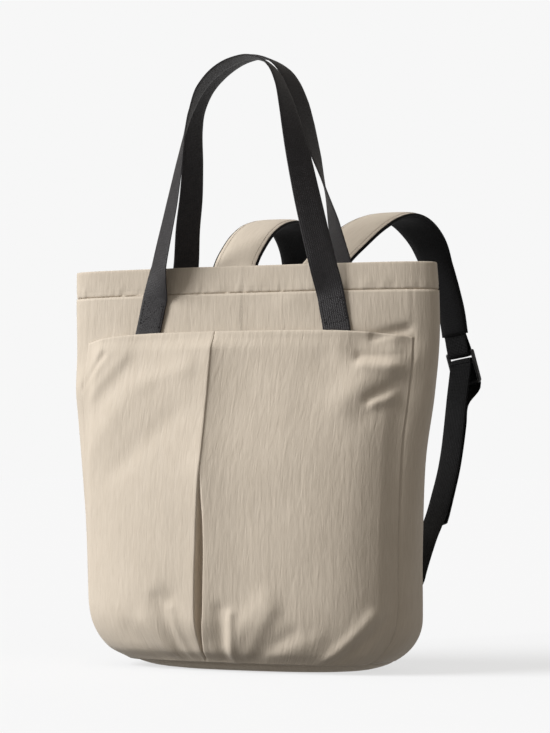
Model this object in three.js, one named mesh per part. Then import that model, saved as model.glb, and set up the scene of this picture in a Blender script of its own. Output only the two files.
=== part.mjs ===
// A soft tote backpack that stands by itself: a hollow cloth bag with a pleated front layer, two
// webbing tote handles and two padded shoulder straps with ladder-lock adjusters.
// Millimetres, +Z up, -Y out of the pleated front, +Y out of the back panel, +X to the right of
// someone who looks at the front.
// The origin is the middle of the base, on the floor.

import * as THREE from 'three';

// Bag, overall.
const BAG_HEIGHT = 365;
const TOP_WIDTH = 351;
const BASE_DEPTH = 119;

// Rounding where the walls turn in to the base: across the width, and front to back.
const LEFT_CORNER_WIDTH = 84;
const LEFT_CORNER_HEIGHT = 60;
const RIGHT_CORNER_WIDTH = 58;
const RIGHT_CORNER_HEIGHT = 46;
const TOE_DEPTH = 17;
const TOE_HEIGHT = 26;

// Cloth and the clearance between neighbours.
const CLOTH = 2;
const GAP = 0.3;
const SEAT = 0.5;
const BASE_RIM = 8;
const BASE_SEAM = GAP;
const BAND_HEIGHT = 25;
const BAND_THICKNESS = 2.4;
const BAND_RECESS = 0.5;

// Front layer with its pleat.
const POCKET_HEIGHT = 304;
const POCKET_DIP = 7;
const POCKET_CLOTH = 1.8;
const POCKET_TURN = 0.212;
const PLEAT_PLACE = -21.5;
const PLEAT_STEP = 3;
const PLEAT_LIFT = 8;
const PLEAT_SPREAD = 46;
const PLEAT_SINK = 1.6;
const POCKET_ROWS = 20;
const POCKET_LEFT_COLUMNS = 17;
const POCKET_RIGHT_COLUMNS = 19;

// Folds in the body cloth.
const FOLD_DEPTH = 6;
const FOLD_WIDTH = 20;

// Tote handles.
const HANDLE_WIDTH = 25;
const HANDLE_THICKNESS = 2.2;
const HANDLE_SPREAD = 181;
const HANDLE_STANDOFF = 34;
const HANDLE_FOOT = 3.6;
const HANDLE_EASE = 1.2;

// Shoulder straps.
const STRAP_WIDTH = 44;
const STRAP_END_WIDTH = 29;
const STRAP_COVER = 3.4;
const STRAP_MESH = 5;
const STRAP_PLACE = 36;
const STRAP_ROOT = 313;
const STRAP_REACH = 250;
const STRAP_CREST = 62;
const STRAP_EDGE = 3;
const STRAP_EASE = 3;

// Adjusting webbing and its ladder-lock buckle.
const WEBBING_WIDTH = 24.5;
const WEBBING_THICKNESS = 1.6;
const ANCHOR_HEIGHT = 53;
const ANCHOR_PLACE = 0.318;
const ANCHOR_SEAT = 0.95;
const WEBBING_STEPS = 15;
const TAIL_STEPS = 10;
const BEND_STEPS = 7;
const TAIL_SHARE = 0.6;
const TAIL_DROOP = 6;
const WEBBING_DROP = 64;
const WEBBING_BACK = 19;
const WEBBING_IN = 7;
const BUCKLE_RAIL = 3.2;
const BUCKLE_BAR = 3.4;
const BUCKLE_HEIGHT = 34;
const BUCKLE_THICKNESS = 4;
const BUCKLE_PLAY = 0.5;
const BUCKLE_DROP = 19;
const BUCKLE_TILT = 13;
const LOOP_CLEAR = 1.5;
const BEND_RADIUS = 3.9;

// Mesh steps.
const RING_STEPS = 52;
const PANEL_ROWS = 16;
const OUTLINE_STEPS = 360;
const STRAP_STEPS = 26;
const HANDLE_STEPS = 61;

// Sections of the bag from base to mouth. Level is a share of the height, half a share of half the
// top width, front and back shares of half the base depth, lean a share of the top width, face and
// rear the exponents of the section's superellipse, and twist the degrees that it is turned.
const SECTIONS = [
  { level: 0.00, half: 0.909, front: 0.99, back: 0.96, lean: -0.001, face: 2.5, rear: 3.2, twist: -4.2 },
  { level: 0.16, half: 0.916, front: 1.02, back: 0.98, lean: -0.003, face: 2.5, rear: 3.2, twist: -4.2 },
  { level: 0.33, half: 0.930, front: 0.97, back: 0.92, lean: -0.006, face: 2.4, rear: 3.0, twist: -3.6 },
  { level: 0.53, half: 0.959, front: 0.82, back: 0.78, lean: -0.009, face: 2.3, rear: 2.8, twist: -2.1 },
  { level: 0.68, half: 0.993, front: 0.68, back: 0.65, lean: -0.003, face: 2.3, rear: 2.7, twist: -0.9 },
  { level: 0.82, half: 1.005, front: 0.54, back: 0.52, lean: 0.004, face: 2.4, rear: 2.7, twist: 0.0 },
  { level: 0.93, half: 1.005, front: 0.46, back: 0.45, lean: 0.002, face: 2.5, rear: 2.7, twist: 0.0 },
  { level: 1.00, half: 1.001, front: 0.41, back: 0.40, lean: -0.001, face: 2.6, rear: 2.8, twist: 0.0 },
];

// Main folds. Turn is a share of the way round from the middle of the front, level a share of the
// height, height a share of the fold depth (negative is a dent) and wide a share of the fold width.
const FOLDS = [
  { turn: 0.198, level: 0.70, toTurn: 0.204, toLevel: 0.10, height: -0.50, wide: 1.1 },
  { turn: 0.140, level: 0.66, toTurn: 0.200, toLevel: 0.76, height: 0.45, wide: 0.8 },
  { turn: 0.150, level: 0.79, toTurn: 0.205, toLevel: 0.80, height: -0.50, wide: 0.7 },
  { turn: -0.215, level: 0.70, toTurn: -0.165, toLevel: 0.79, height: 0.45, wide: 0.9 },
  { turn: -0.150, level: 0.63, toTurn: -0.070, toLevel: 0.71, height: 0.55, wide: 1.6 },
  { turn: 0.075, level: 0.45, toTurn: 0.120, toLevel: 0.20, height: 0.60, wide: 3.0 },
  { turn: -0.120, level: 0.42, toTurn: -0.100, toLevel: 0.18, height: 0.60, wide: 3.0 },
  { turn: 0.005, level: 0.03, toTurn: 0.060, toLevel: 0.17, height: 0.45, wide: 0.6 },
  { turn: -0.040, level: 0.03, toTurn: -0.062, toLevel: 0.17, height: -0.50, wide: 0.6 },
  { turn: 0.460, level: 0.60, toTurn: 0.540, toLevel: 0.45, height: 0.35, wide: 2.5 },
];

// The legs of each handle above the mouth, up to the crest. Rise is a share of the handle's rise,
// spread of half its spread, lean how far the middle of the two legs has moved, also a share of half
// the spread, stand a share of the stand-off, turn the degrees its outer face has turned outward, and
// swing the degrees that both legs have turned the same way round.
const HANDLES = {
  front: {
    rise: 191,
    legs: [
      { rise: 0.00, spread: 0.872, lean: 0.000, stand: 1.00, turn: 32, swing: -5 },
      { rise: 0.30, spread: 0.727, lean: -0.010, stand: 0.98, turn: 40, swing: -5 },
      { rise: 0.50, spread: 0.640, lean: -0.022, stand: 0.93, turn: 51, swing: -4 },
      { rise: 0.64, spread: 0.578, lean: -0.032, stand: 0.89, turn: 64, swing: -3 },
      { rise: 0.75, spread: 0.517, lean: -0.030, stand: 0.85, turn: 74, swing: -2 },
      { rise: 0.85, spread: 0.440, lean: -0.020, stand: 0.81, turn: 84, swing: -1 },
      { rise: 0.93, spread: 0.325, lean: 0.010, stand: 0.78, turn: 88, swing: 0 },
      { rise: 0.98, spread: 0.176, lean: 0.040, stand: 0.75, turn: 90, swing: 0 },
      { rise: 1.00, spread: 0.000, lean: 0.055, stand: 0.74, turn: 90, swing: 0 },
    ],
  },
  rear: {
    rise: 201,
    legs: [
      { rise: 0.00, spread: 0.868, lean: -0.015, stand: 1.00, turn: 35, swing: -3 },
      { rise: 0.21, spread: 0.800, lean: -0.050, stand: 0.97, turn: 48, swing: 2 },
      { rise: 0.36, spread: 0.740, lean: -0.070, stand: 0.94, turn: 62, swing: 10 },
      { rise: 0.52, spread: 0.680, lean: -0.110, stand: 0.92, turn: 77, swing: 17 },
      { rise: 0.67, spread: 0.625, lean: -0.150, stand: 0.89, turn: 88, swing: 18 },
      { rise: 0.77, spread: 0.570, lean: -0.162, stand: 0.87, turn: 93, swing: 17 },
      { rise: 0.86, spread: 0.475, lean: -0.147, stand: 0.85, turn: 95, swing: 13 },
      { rise: 0.93, spread: 0.345, lean: -0.110, stand: 0.83, turn: 93, swing: 7 },
      { rise: 0.98, spread: 0.180, lean: -0.085, stand: 0.82, turn: 90, swing: 2 },
      { rise: 1.00, spread: 0.000, lean: -0.075, stand: 0.81, turn: 90, swing: 0 },
    ],
  },
};

// Routes of the shoulder straps from the mouth's level to the padded end. Out is a share of half the
// top width, back of the strap's reach, up of its crest above the mouth, turn the degrees its width
// has turned about the upright.
const STRAP_ROUTES = {
  right: [
    { out: 0.300, back: 0.22, up: 0.10, turn: 0 },
    { out: 0.378, back: 0.32, up: 0.47, turn: 0 },
    { out: 0.436, back: 0.42, up: 0.74, turn: 0 },
    { out: 0.482, back: 0.53, up: 0.92, turn: -2 },
    { out: 0.520, back: 0.65, up: 1.00, turn: -5 },
    { out: 0.560, back: 0.77, up: 0.93, turn: -9 },
    { out: 0.603, back: 0.87, up: 0.69, turn: -13 },
    { out: 0.628, back: 0.95, up: 0.34, turn: -18 },
    { out: 0.672, back: 0.99, up: -0.13, turn: -20 },
    { out: 0.700, back: 1.00, up: -0.45, turn: -18 },
    { out: 0.720, back: 1.00, up: -0.81, turn: -16 },
  ],
  left: [
    { out: -0.208, back: 0.21, up: 0.10, turn: 0 },
    { out: -0.204, back: 0.31, up: 0.46, turn: 0 },
    { out: -0.197, back: 0.41, up: 0.71, turn: 0 },
    { out: -0.185, back: 0.53, up: 0.89, turn: 2 },
    { out: -0.170, back: 0.65, up: 0.96, turn: 5 },
    { out: -0.160, back: 0.77, up: 0.90, turn: 9 },
    { out: -0.164, back: 0.87, up: 0.67, turn: 13 },
    { out: -0.190, back: 0.95, up: 0.33, turn: 16 },
    { out: -0.238, back: 0.99, up: -0.12, turn: 18 },
    { out: -0.285, back: 1.00, up: -0.44, turn: 17 },
    { out: -0.330, back: 1.00, up: -0.80, turn: 16 },
  ],
};

// Route of the adjusting webbing from the bag to the buckle. Along is the share of the way across
// from the one to the other, back a share of the strap's reach and up a share of the bag's height.
const WEBBING_ROUTE = [
  { along: 0.20, back: 0.29, up: 0.253 },
  { along: 0.38, back: 0.43, up: 0.313 },
  { along: 0.53, back: 0.59, up: 0.371 },
  { along: 0.65, back: 0.71, up: 0.433 },
  { along: 0.78, back: 0.82, up: 0.497 },
  { along: 0.90, back: 0.90, up: 0.563 },
];

const HALF_WIDTH = TOP_WIDTH / 2;
const HALF_DEPTH = BASE_DEPTH / 2;
const SHELL_FOOT = BASE_RIM + BASE_SEAM;
const SHELL_TOP = BAG_HEIGHT - BAND_HEIGHT - GAP;
const NOMINAL_GIRTH = 2 * (TOP_WIDTH + HALF_DEPTH);

// Materials.

function cloth(name, colour, roughness) {
  return new THREE.MeshStandardMaterial({ name, color: colour, roughness, metalness: 0 });
}

const tanCloth = cloth('tan_cloth', 0xcfc5b4, 0.85);
const tanLayer = cloth('tan_layer', 0xd6ccbb, 0.85);
const blackWebbing = cloth('black_webbing', 0x2b2a2c, 0.7);
const blackMesh = cloth('black_mesh', 0x171717, 0.9);
const blackPlastic = cloth('black_plastic', 0x141414, 0.45);

// Small tools.

// A smooth value from rows of a table, by a cubic through the neighbouring rows.
function along(rows, key, column, value) {
  let i = 0;
  while (i < rows.length - 2 && value > rows[i + 1][key]) i += 1;
  const slope = (k) => {
    const low = rows[Math.max(k - 1, 0)];
    const high = rows[Math.min(k + 1, rows.length - 1)];
    return (high[column] - low[column]) / (high[key] - low[key]);
  };
  const span = rows[i + 1][key] - rows[i][key];
  const t = THREE.MathUtils.clamp((value - rows[i][key]) / span, 0, 1);
  const u = 1 - t;
  return rows[i][column] * u * u * (1 + 2 * t) + rows[i + 1][column] * t * t * (3 - 2 * t)
    + span * (slope(i) * t * u * u - slope(i + 1) * t * t * u);
}

// How far a quarter ellipse stands in from its wall at a height above the base.
function cornerInset(width, height, z) {
  const below = Math.max(0, 1 - z / height);
  return width * (1 - Math.sqrt(1 - below * below));
}

// A closed mesh from points and triangles, with its faces turned outward.
function closedBody(name, material, points, faces) {
  let volume = 0;
  for (const [a, b, c] of faces) volume += points[a].dot(points[b].clone().cross(points[c]));
  const geometry = new THREE.BufferGeometry();
  const flat = points.flatMap((p) => [p.x, p.y, p.z]);
  geometry.setAttribute('position', new THREE.Float32BufferAttribute(flat, 3));
  geometry.setIndex(faces.flatMap(([a, b, c]) => (volume < 0 ? [a, c, b] : [a, b, c])));
  const mesh = new THREE.Mesh(geometry, material);
  mesh.name = name;
  return mesh;
}

// Two triangles of a grid cell, split along its shorter diagonal.
function cell(points, faces, a, b, c, d) {
  if (points[a].distanceTo(points[c]) <= points[b].distanceTo(points[d])) {
    faces.push([a, b, c], [a, c, d]);
  } else {
    faces.push([a, b, d], [b, c, d]);
  }
}

// A sheet with thickness: a grid of outer points and a grid of inner points, joined round its edges.
// A ring closes on itself across.
function sheetBody(name, material, rows, columns, ring, outer, inner) {
  const points = [];
  const faces = [];
  for (const side of [outer, inner]) {
    for (let i = 0; i < rows; i += 1) {
      for (let j = 0; j < columns; j += 1) points.push(side(i, j));
    }
  }
  const inside = rows * columns;
  const at = (i, j) => i * columns + (j % columns);
  const lastColumn = ring ? columns : columns - 1;
  for (let i = 0; i < rows - 1; i += 1) {
    for (let j = 0; j < lastColumn; j += 1) {
      const [a, b, c, d] = [at(i, j), at(i, j + 1), at(i + 1, j + 1), at(i + 1, j)];
      cell(points, faces, a, b, c, d);
      cell(points, faces, inside + a, inside + d, inside + c, inside + b);
    }
  }
  for (let j = 0; j < lastColumn; j += 1) {
    const [low, high] = [0, rows - 1];
    cell(points, faces, at(low, j + 1), at(low, j), inside + at(low, j), inside + at(low, j + 1));
    cell(points, faces, at(high, j), at(high, j + 1), inside + at(high, j + 1), inside + at(high, j));
  }
  for (let i = 0; i < rows - 1 && !ring; i += 1) {
    const [first, last] = [0, columns - 1];
    cell(points, faces, at(i, first), at(i + 1, first), inside + at(i + 1, first), inside + at(i, first));
    cell(points, faces, at(i + 1, last), at(i, last), inside + at(i, last), inside + at(i + 1, last));
  }
  return closedBody(name, material, points, faces);
}

// A flat-ended body swept through stations. Each station has a place, an across direction and a face
// direction, and may have a width that scales the profile's across distances. The profile is a convex
// outline of [across, face] pairs.
function sweptBody(name, material, stations, profile) {
  const count = profile.length;
  const points = stations.flatMap(({ place, across, face, width = 1 }) => profile.map(([w, h]) => (
    place.clone().addScaledVector(across, w * width).addScaledVector(face, h))));
  const faces = [];
  for (let i = 0; i < stations.length - 1; i += 1) {
    for (let j = 0; j < count; j += 1) {
      const k = (j + 1) % count;
      cell(points, faces, i * count + j, i * count + k, (i + 1) * count + k, (i + 1) * count + j);
    }
  }
  const end = (stations.length - 1) * count;
  for (let j = 1; j < count - 1; j += 1) {
    faces.push([0, j + 1, j], [end, end + j, end + j + 1]);
  }
  return closedBody(name, material, points, faces);
}

function ribbonProfile(width, thickness) {
  const [w, h] = [width / 2, thickness / 2];
  return [[-w, -h], [w, -h], [w, h], [-w, h]];
}

// Stations along places, each with a hint of the across direction squared up to the route.
function stationsAlong(places, hints) {
  return places.map((place, i) => {
    const before = places[Math.max(i - 1, 0)];
    const after = places[Math.min(i + 1, places.length - 1)];
    const tangent = after.clone().sub(before).normalize();
    const across = hints[i].clone().addScaledVector(tangent, -hints[i].dot(tangent)).normalize();
    return { place, across, face: across.clone().cross(tangent).normalize() };
  });
}

// The bag's outer surface.

const outlines = new Map();

// The outline at a height, as points with the distance walked round from the middle of the front.
function outlineAt(z) {
  if (outlines.has(z)) return outlines.get(z);
  const level = z / BAG_HEIGHT;
  const inLeft = cornerInset(LEFT_CORNER_WIDTH, LEFT_CORNER_HEIGHT, z);
  const inRight = cornerInset(RIGHT_CORNER_WIDTH, RIGHT_CORNER_HEIGHT, z);
  const inY = cornerInset(TOE_DEPTH, TOE_HEIGHT, z);
  const half = HALF_WIDTH * along(SECTIONS, 'level', 'half', level);
  const front = HALF_DEPTH * along(SECTIONS, 'level', 'front', level) - inY;
  const back = HALF_DEPTH * along(SECTIONS, 'level', 'back', level) - inY;
  const lean = TOP_WIDTH * along(SECTIONS, 'level', 'lean', level);
  const face = 2 / along(SECTIONS, 'level', 'face', level);
  const rear = 2 / along(SECTIONS, 'level', 'rear', level);
  const twist = THREE.MathUtils.degToRad(along(SECTIONS, 'level', 'twist', level));
  const points = [];
  let walked = 0;
  for (let k = 0; k <= OUTLINE_STEPS; k += 1) {
    const angle = (2 * Math.PI * k) / OUTLINE_STEPS;
    const [s, c] = [Math.sin(angle), -Math.cos(angle)];
    const power = c < 0 ? face : rear;
    const reach = half - (s < 0 ? inLeft : inRight);
    const flatX = lean + reach * Math.sign(s) * Math.abs(s) ** power;
    const flatY = (c < 0 ? front : back) * Math.sign(c) * Math.abs(c) ** power;
    const x = flatX * Math.cos(twist) - flatY * Math.sin(twist);
    const y = flatX * Math.sin(twist) + flatY * Math.cos(twist);
    if (k > 0) walked += Math.hypot(x - points[k - 1].x, y - points[k - 1].y);
    points.push({ x, y, walked });
  }
  const outline = { points, girth: walked };
  outlines.set(z, outline);
  return outline;
}

// A point of the plain surface: turn is the share of the way round from the middle of the front.
function plainPoint(turn, z) {
  const { points, girth } = outlineAt(z);
  const wanted = (turn - Math.floor(turn)) * girth;
  let low = 0;
  let high = points.length - 1;
  while (high - low > 1) {
    const middle = (low + high) >> 1;
    if (points[middle].walked <= wanted) low = middle;
    else high = middle;
  }
  const share = (wanted - points[low].walked) / (points[high].walked - points[low].walked);
  return new THREE.Vector3(
    points[low].x + share * (points[high].x - points[low].x),
    points[low].y + share * (points[high].y - points[low].y),
    z,
  );
}

function plainNormal(turn, z) {
  const [stepTurn, stepUp] = [0.004, 0.5];
  const low = Math.max(z - stepUp, 0);
  const high = Math.min(z + stepUp, BAG_HEIGHT);
  const round = plainPoint(turn + stepTurn, z).sub(plainPoint(turn - stepTurn, z));
  const up = plainPoint(turn, high).sub(plainPoint(turn, low));
  return round.cross(up).normalize();
}

// How far the folds push the surface out at a place.
function foldHeight(turn, z) {
  let total = 0;
  for (const fold of FOLDS) {
    const wide = FOLD_WIDTH * fold.wide;
    const way = (value) => value - Math.round(value - fold.turn);
    const start = new THREE.Vector2(fold.turn * NOMINAL_GIRTH, fold.level * BAG_HEIGHT);
    const end = new THREE.Vector2(fold.toTurn * NOMINAL_GIRTH, fold.toLevel * BAG_HEIGHT);
    const here = new THREE.Vector2(way(turn) * NOMINAL_GIRTH, z);
    const line = end.clone().sub(start);
    const share = THREE.MathUtils.clamp(here.clone().sub(start).dot(line) / line.lengthSq(), 0, 1);
    const away = here.distanceTo(start.clone().addScaledVector(line, share));
    total += FOLD_DEPTH * fold.height * Math.exp(-((away / wide) ** 2));
  }
  const calm = THREE.MathUtils.smoothstep(z, BASE_RIM, TOE_HEIGHT)
    * (1 - THREE.MathUtils.smoothstep(z, POCKET_HEIGHT - FOLD_WIDTH, SHELL_TOP));
  return total * calm;
}

// A point at a distance out from the folded surface.
function bagPoint(turn, z, out) {
  return plainPoint(turn, z).addScaledVector(plainNormal(turn, z), out + foldHeight(turn, z));
}

// The turn at which the front of the bag has a given x.
function frontTurn(x, z) {
  const lean = plainPoint(0, z).x;
  return (x - lean) / outlineAt(z).girth;
}

// The bag.

function spacedFrom(low, high, count, crowd = 1) {
  return Array.from({ length: count }, (_, i) => low + (high - low) * (i / (count - 1)) ** crowd);
}

// The four wall panels meet in upright seams: front and back between them take most of the girth.
const PANELS = [
  { name: 'body_front', from: -POCKET_TURN, to: POCKET_TURN, columns: 24 },
  { name: 'body_side_right', from: POCKET_TURN, to: 0.5 - POCKET_TURN, columns: 7 },
  { name: 'body_back', from: 0.5 - POCKET_TURN, to: 0.5 + POCKET_TURN, columns: 24 },
  { name: 'body_side_left', from: 0.5 + POCKET_TURN, to: 1 - POCKET_TURN, columns: 7 },
];

function bodyPanel({ name, from, to, columns }) {
  const levels = spacedFrom(SHELL_FOOT, SHELL_TOP, PANEL_ROWS, 1.15);
  const point = (out) => (i, j) => {
    const halfGap = GAP / 2 / outlineAt(levels[i]).girth;
    const turn = THREE.MathUtils.mapLinear(j, 0, columns - 1, from + halfGap, to - halfGap);
    return bagPoint(turn, levels[i], out);
  };
  return sheetBody(name, tanCloth, levels.length, columns, false, point(0), point(-CLOTH));
}

function topBand() {
  const levels = spacedFrom(BAG_HEIGHT - BAND_HEIGHT, BAG_HEIGHT, 3);
  const point = (out) => (i, j) => bagPoint(j / RING_STEPS, levels[i], out);
  return sheetBody('top_band', tanCloth, levels.length, RING_STEPS, true,
    point(-BAND_RECESS), point(-BAND_RECESS - BAND_THICKNESS));
}

// The base tray: a flat floor that turns up into a rim under the walls.
function basePanel() {
  const floorShares = [0.3, 0.65, 1];
  const rims = spacedFrom(0, BASE_RIM, 5, 1.7).slice(1);
  const rows = floorShares.length + rims.length;
  const turn = (j) => j / RING_STEPS;
  const outer = (i, j) => {
    if (i >= floorShares.length) return bagPoint(turn(j), rims[i - floorShares.length], 0);
    return plainPoint(turn(j), 0).multiplyScalar(floorShares[i]);
  };
  const inner = (i, j) => {
    if (i >= floorShares.length) return bagPoint(turn(j), rims[i - floorShares.length], -CLOTH);
    return outer(i, j).add(new THREE.Vector3(0, 0, CLOTH));
  };
  const points = [];
  const faces = [];
  for (const [side, z] of [[outer, 0], [inner, CLOTH]]) {
    points.push(new THREE.Vector3(0, 0, z));
    for (let i = 0; i < rows; i += 1) {
      for (let j = 0; j < RING_STEPS; j += 1) points.push(side(i, j));
    }
  }
  const inside = 1 + rows * RING_STEPS;
  const at = (i, j) => 1 + i * RING_STEPS + (j % RING_STEPS);
  for (let j = 0; j < RING_STEPS; j += 1) {
    faces.push([0, at(0, j), at(0, j + 1)], [inside, inside + at(0, j + 1), inside + at(0, j)]);
    for (let i = 0; i < rows - 1; i += 1) {
      const [a, b, c, d] = [at(i, j), at(i + 1, j), at(i + 1, j + 1), at(i, j + 1)];
      cell(points, faces, a, b, c, d);
      cell(points, faces, inside + a, inside + d, inside + c, inside + b);
    }
    const top = rows - 1;
    cell(points, faces, at(top, j), inside + at(top, j), inside + at(top, j + 1), at(top, j + 1));
  }
  return closedBody('base_panel', tanCloth, points, faces);
}

// How far the front layer stands off beside the pleat: the left side is lifted over the right.
function pleatLift(away, z) {
  const level = z / POCKET_HEIGHT;
  const rising = THREE.MathUtils.smoothstep(level, 0, 0.25);
  const open = rising * (1 - 0.72 * THREE.MathUtils.smoothstep(level, 0.3, 1));
  if (away <= 0) return PLEAT_LIFT * open * Math.exp(-((away / PLEAT_SPREAD) ** 2));
  return -PLEAT_SINK * open * Math.exp(-((away / (PLEAT_SPREAD / 2)) ** 2));
}

function frontPocket() {
  const [left, right, rows] = [POCKET_LEFT_COLUMNS, POCKET_RIGHT_COLUMNS, POCKET_ROWS];
  const columns = left + right;
  const edge = (z) => frontTurn(PLEAT_PLACE, z);
  const place = (i, j) => {
    const share = j < left ? j / (left - 1) : (j - left) / (right - 1);
    const up = i / (rows - 1);
    const dip = (turn) => POCKET_DIP * (Math.abs(turn) / POCKET_TURN) ** 4;
    const rough = j < left ? -POCKET_TURN * (1 - share) : POCKET_TURN * share;
    const z = SHELL_FOOT + (POCKET_HEIGHT - dip(rough) - SHELL_FOOT) * up ** 1.1;
    const step = PLEAT_STEP / outlineAt(z).girth;
    const turn = j < left
      ? THREE.MathUtils.lerp(-POCKET_TURN, edge(z), share)
      : THREE.MathUtils.lerp(edge(z) + step, POCKET_TURN, share);
    const away = (turn - edge(z) - (j < left ? 0 : step)) * outlineAt(z).girth;
    const lift = PLEAT_SINK + pleatLift(j === left ? 1e-3 : away, z);
    return { turn, z, lift };
  };
  const side = (extra) => (i, j) => {
    const { turn, z, lift } = place(i, j);
    return bagPoint(turn, z, GAP + lift + extra);
  };
  return sheetBody('front_pocket', tanLayer, rows, columns, false, side(POCKET_CLOTH), side(0));
}

// Tote handles: sewn flat below the hem band, free above it, twisted so that the crest lies flat.
function handle(name, side) {
  const facing = side === 'front' ? 1 : -1;
  const { rise: height, legs } = HANDLES[side];
  const halfSpread = HANDLE_SPREAD / 2;
  const out = SEAT + HANDLE_THICKNESS / 2;
  const foot = POCKET_HEIGHT + HANDLE_FOOT;
  const legShare = (z) => THREE.MathUtils.mapLinear(z, foot, BAG_HEIGHT, 1, legs[0].spread);
  const lastSewn = SHELL_TOP - HANDLE_THICKNESS;
  const sewnLeg = (hand) => spacedFrom(foot, lastSewn, 4).map((z) => {
    const turn = frontTurn(hand * halfSpread * legShare(z), z);
    const ease = HANDLE_EASE * THREE.MathUtils.smoothstep(z, foot, lastSewn);
    const normal = plainNormal(turn, z);
    return { place: bagPoint(turn, z, out + ease), face: normal };
  });
  const freeLeg = (hand) => legs.map(({ rise, spread, lean, stand, turn, swing }) => {
    const turned = THREE.MathUtils.degToRad(hand * turn + swing);
    const x = halfSpread * (lean + hand * spread);
    return {
      place: new THREE.Vector3(x, -HANDLE_STANDOFF * stand, BAG_HEIGHT + height * rise),
      face: new THREE.Vector3(Math.sin(turned), -Math.cos(turned), 0),
    };
  });
  const rightLeg = [...sewnLeg(1), ...freeLeg(1)];
  const leftLeg = [...sewnLeg(-1), ...freeLeg(-1)];
  const knots = [...rightLeg, ...leftLeg.slice(0, -1).reverse()];
  const curve = new THREE.CatmullRomCurve3(knots.map(({ place }) => place), false, 'centripetal');
  const route = spacedFrom(0, 1, HANDLE_STEPS).map((share) => {
    const position = share * (knots.length - 1);
    const i = Math.min(Math.floor(position), knots.length - 2);
    const face = knots[i].face.clone().lerp(knots[i + 1].face, position - i);
    const place = curve.getPoint(share);
    return {
      place: new THREE.Vector3(place.x, place.y * facing, place.z),
      face: new THREE.Vector3(face.x, face.y * facing, face.z),
    };
  });
  const stations = route.map(({ place, face }, i) => {
    const before = route[Math.max(i - 1, 0)].place;
    const after = route[Math.min(i + 1, route.length - 1)].place;
    const tangent = after.clone().sub(before).normalize();
    const wanted = face.clone().add(new THREE.Vector3(0, 0, Math.abs(tangent.x) ** 3));
    const square = wanted.addScaledVector(tangent, -wanted.dot(tangent)).normalize();
    return { place, face: square, across: tangent.clone().cross(square) };
  });
  return sweptBody(name, blackWebbing, stations, ribbonProfile(HANDLE_WIDTH, HANDLE_THICKNESS));
}

// Shoulder straps.

// Stations of a strap: its root lies on the back panel, then it arches back and down to its end.
function strapStations(side) {
  const hand = side === 'right' ? 1 : -1;
  const rootTurn = (z) => 0.5 - (hand * STRAP_PLACE) / outlineAt(z).girth;
  const rootLevels = [STRAP_ROOT, STRAP_ROOT + STRAP_WIDTH / 2];
  const knots = rootLevels.map((z, i) => (
    bagPoint(rootTurn(z), z, SEAT + GAP / 2 + STRAP_COVER + i * STRAP_EASE)));
  const knotHints = rootLevels.map((z) => {
    const normal = plainNormal(rootTurn(z), z);
    return new THREE.Vector3(normal.y, -normal.x, 0);
  });
  for (const row of STRAP_ROUTES[side]) {
    knots.push(new THREE.Vector3(
      HALF_WIDTH * row.out,
      STRAP_REACH * row.back,
      BAG_HEIGHT + STRAP_CREST * row.up,
    ));
    const turned = THREE.MathUtils.degToRad(row.turn);
    knotHints.push(new THREE.Vector3(Math.cos(turned), Math.sin(turned), 0));
  }
  const curve = new THREE.CatmullRomCurve3(knots, false, 'centripetal');
  const places = spacedFrom(0, 1, STRAP_STEPS).map((share) => curve.getPoint(share));
  const hints = spacedFrom(0, knots.length - 1, STRAP_STEPS).map((position) => {
    const i = Math.min(Math.floor(position), knots.length - 2);
    return knotHints[i].clone().lerp(knotHints[i + 1], position - i);
  });
  const stations = stationsAlong(places, hints);
  return stations.map((station, i) => {
    const taper = THREE.MathUtils.smoothstep(i / (STRAP_STEPS - 1), 0.55, 1);
    return { ...station, width: THREE.MathUtils.lerp(STRAP_WIDTH, STRAP_END_WIDTH, taper) };
  });
}

// A pad profile on one side of the middle plane, one unit wide: full in the middle and thin at its
// edges.
function padProfile(thickness, sign) {
  const [w, flat, edge] = [1 / 2, (sign * GAP) / 2, sign * (GAP / 2 + thickness * 0.45)];
  const full = sign * (GAP / 2 + thickness);
  const shoulder = w - STRAP_EDGE / STRAP_WIDTH;
  return [[-w, flat], [w, flat], [w, edge], [shoulder, full], [-shoulder, full], [-w, edge]];
}

// The frame at the padded end, where the buckle hangs tilted outward.
function strapEnd(stations) {
  const last = stations[stations.length - 1];
  const before = stations[stations.length - 2];
  const straight = last.place.clone().sub(before.place).normalize();
  const across = last.across.clone();
  const outward = across.clone().cross(straight).normalize();
  const tilt = THREE.MathUtils.degToRad(BUCKLE_TILT);
  const down = straight.multiplyScalar(Math.cos(tilt)).addScaledVector(outward, Math.sin(tilt));
  return { place: last.place, down, across, face: across.clone().cross(down).normalize() };
}

// A place given as distances down, out along the face, and across, from the padded end.
function fromEnd(end, down, out, across = 0) {
  return end.place.clone().addScaledVector(end.down, down)
    .addScaledVector(end.face, out).addScaledVector(end.across, across);
}

// The short webbing loop that is sewn to the padded end and runs round the buckle's top bar.
function strapLoop(side, end) {
  const bend = spacedFrom(-90, 90, BEND_STEPS).map((degrees) => {
    const angle = THREE.MathUtils.degToRad(degrees);
    return fromEnd(end, BUCKLE_DROP + BEND_RADIUS * Math.cos(angle), BEND_RADIUS * Math.sin(angle));
  });
  const start = WEBBING_THICKNESS / 2 + GAP;
  const places = [
    fromEnd(end, LOOP_CLEAR, -start),
    fromEnd(end, BUCKLE_DROP / 2, -(start + BEND_RADIUS) / 2),
    ...bend,
    fromEnd(end, BUCKLE_DROP / 2, (start + BEND_RADIUS) / 2),
    fromEnd(end, LOOP_CLEAR, start),
  ];
  const stations = stationsAlong(places, places.map(() => end.across));
  return sweptBody(`strap_loop_${side}`, blackWebbing, stations,
    ribbonProfile(WEBBING_WIDTH, WEBBING_THICKNESS));
}

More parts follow.
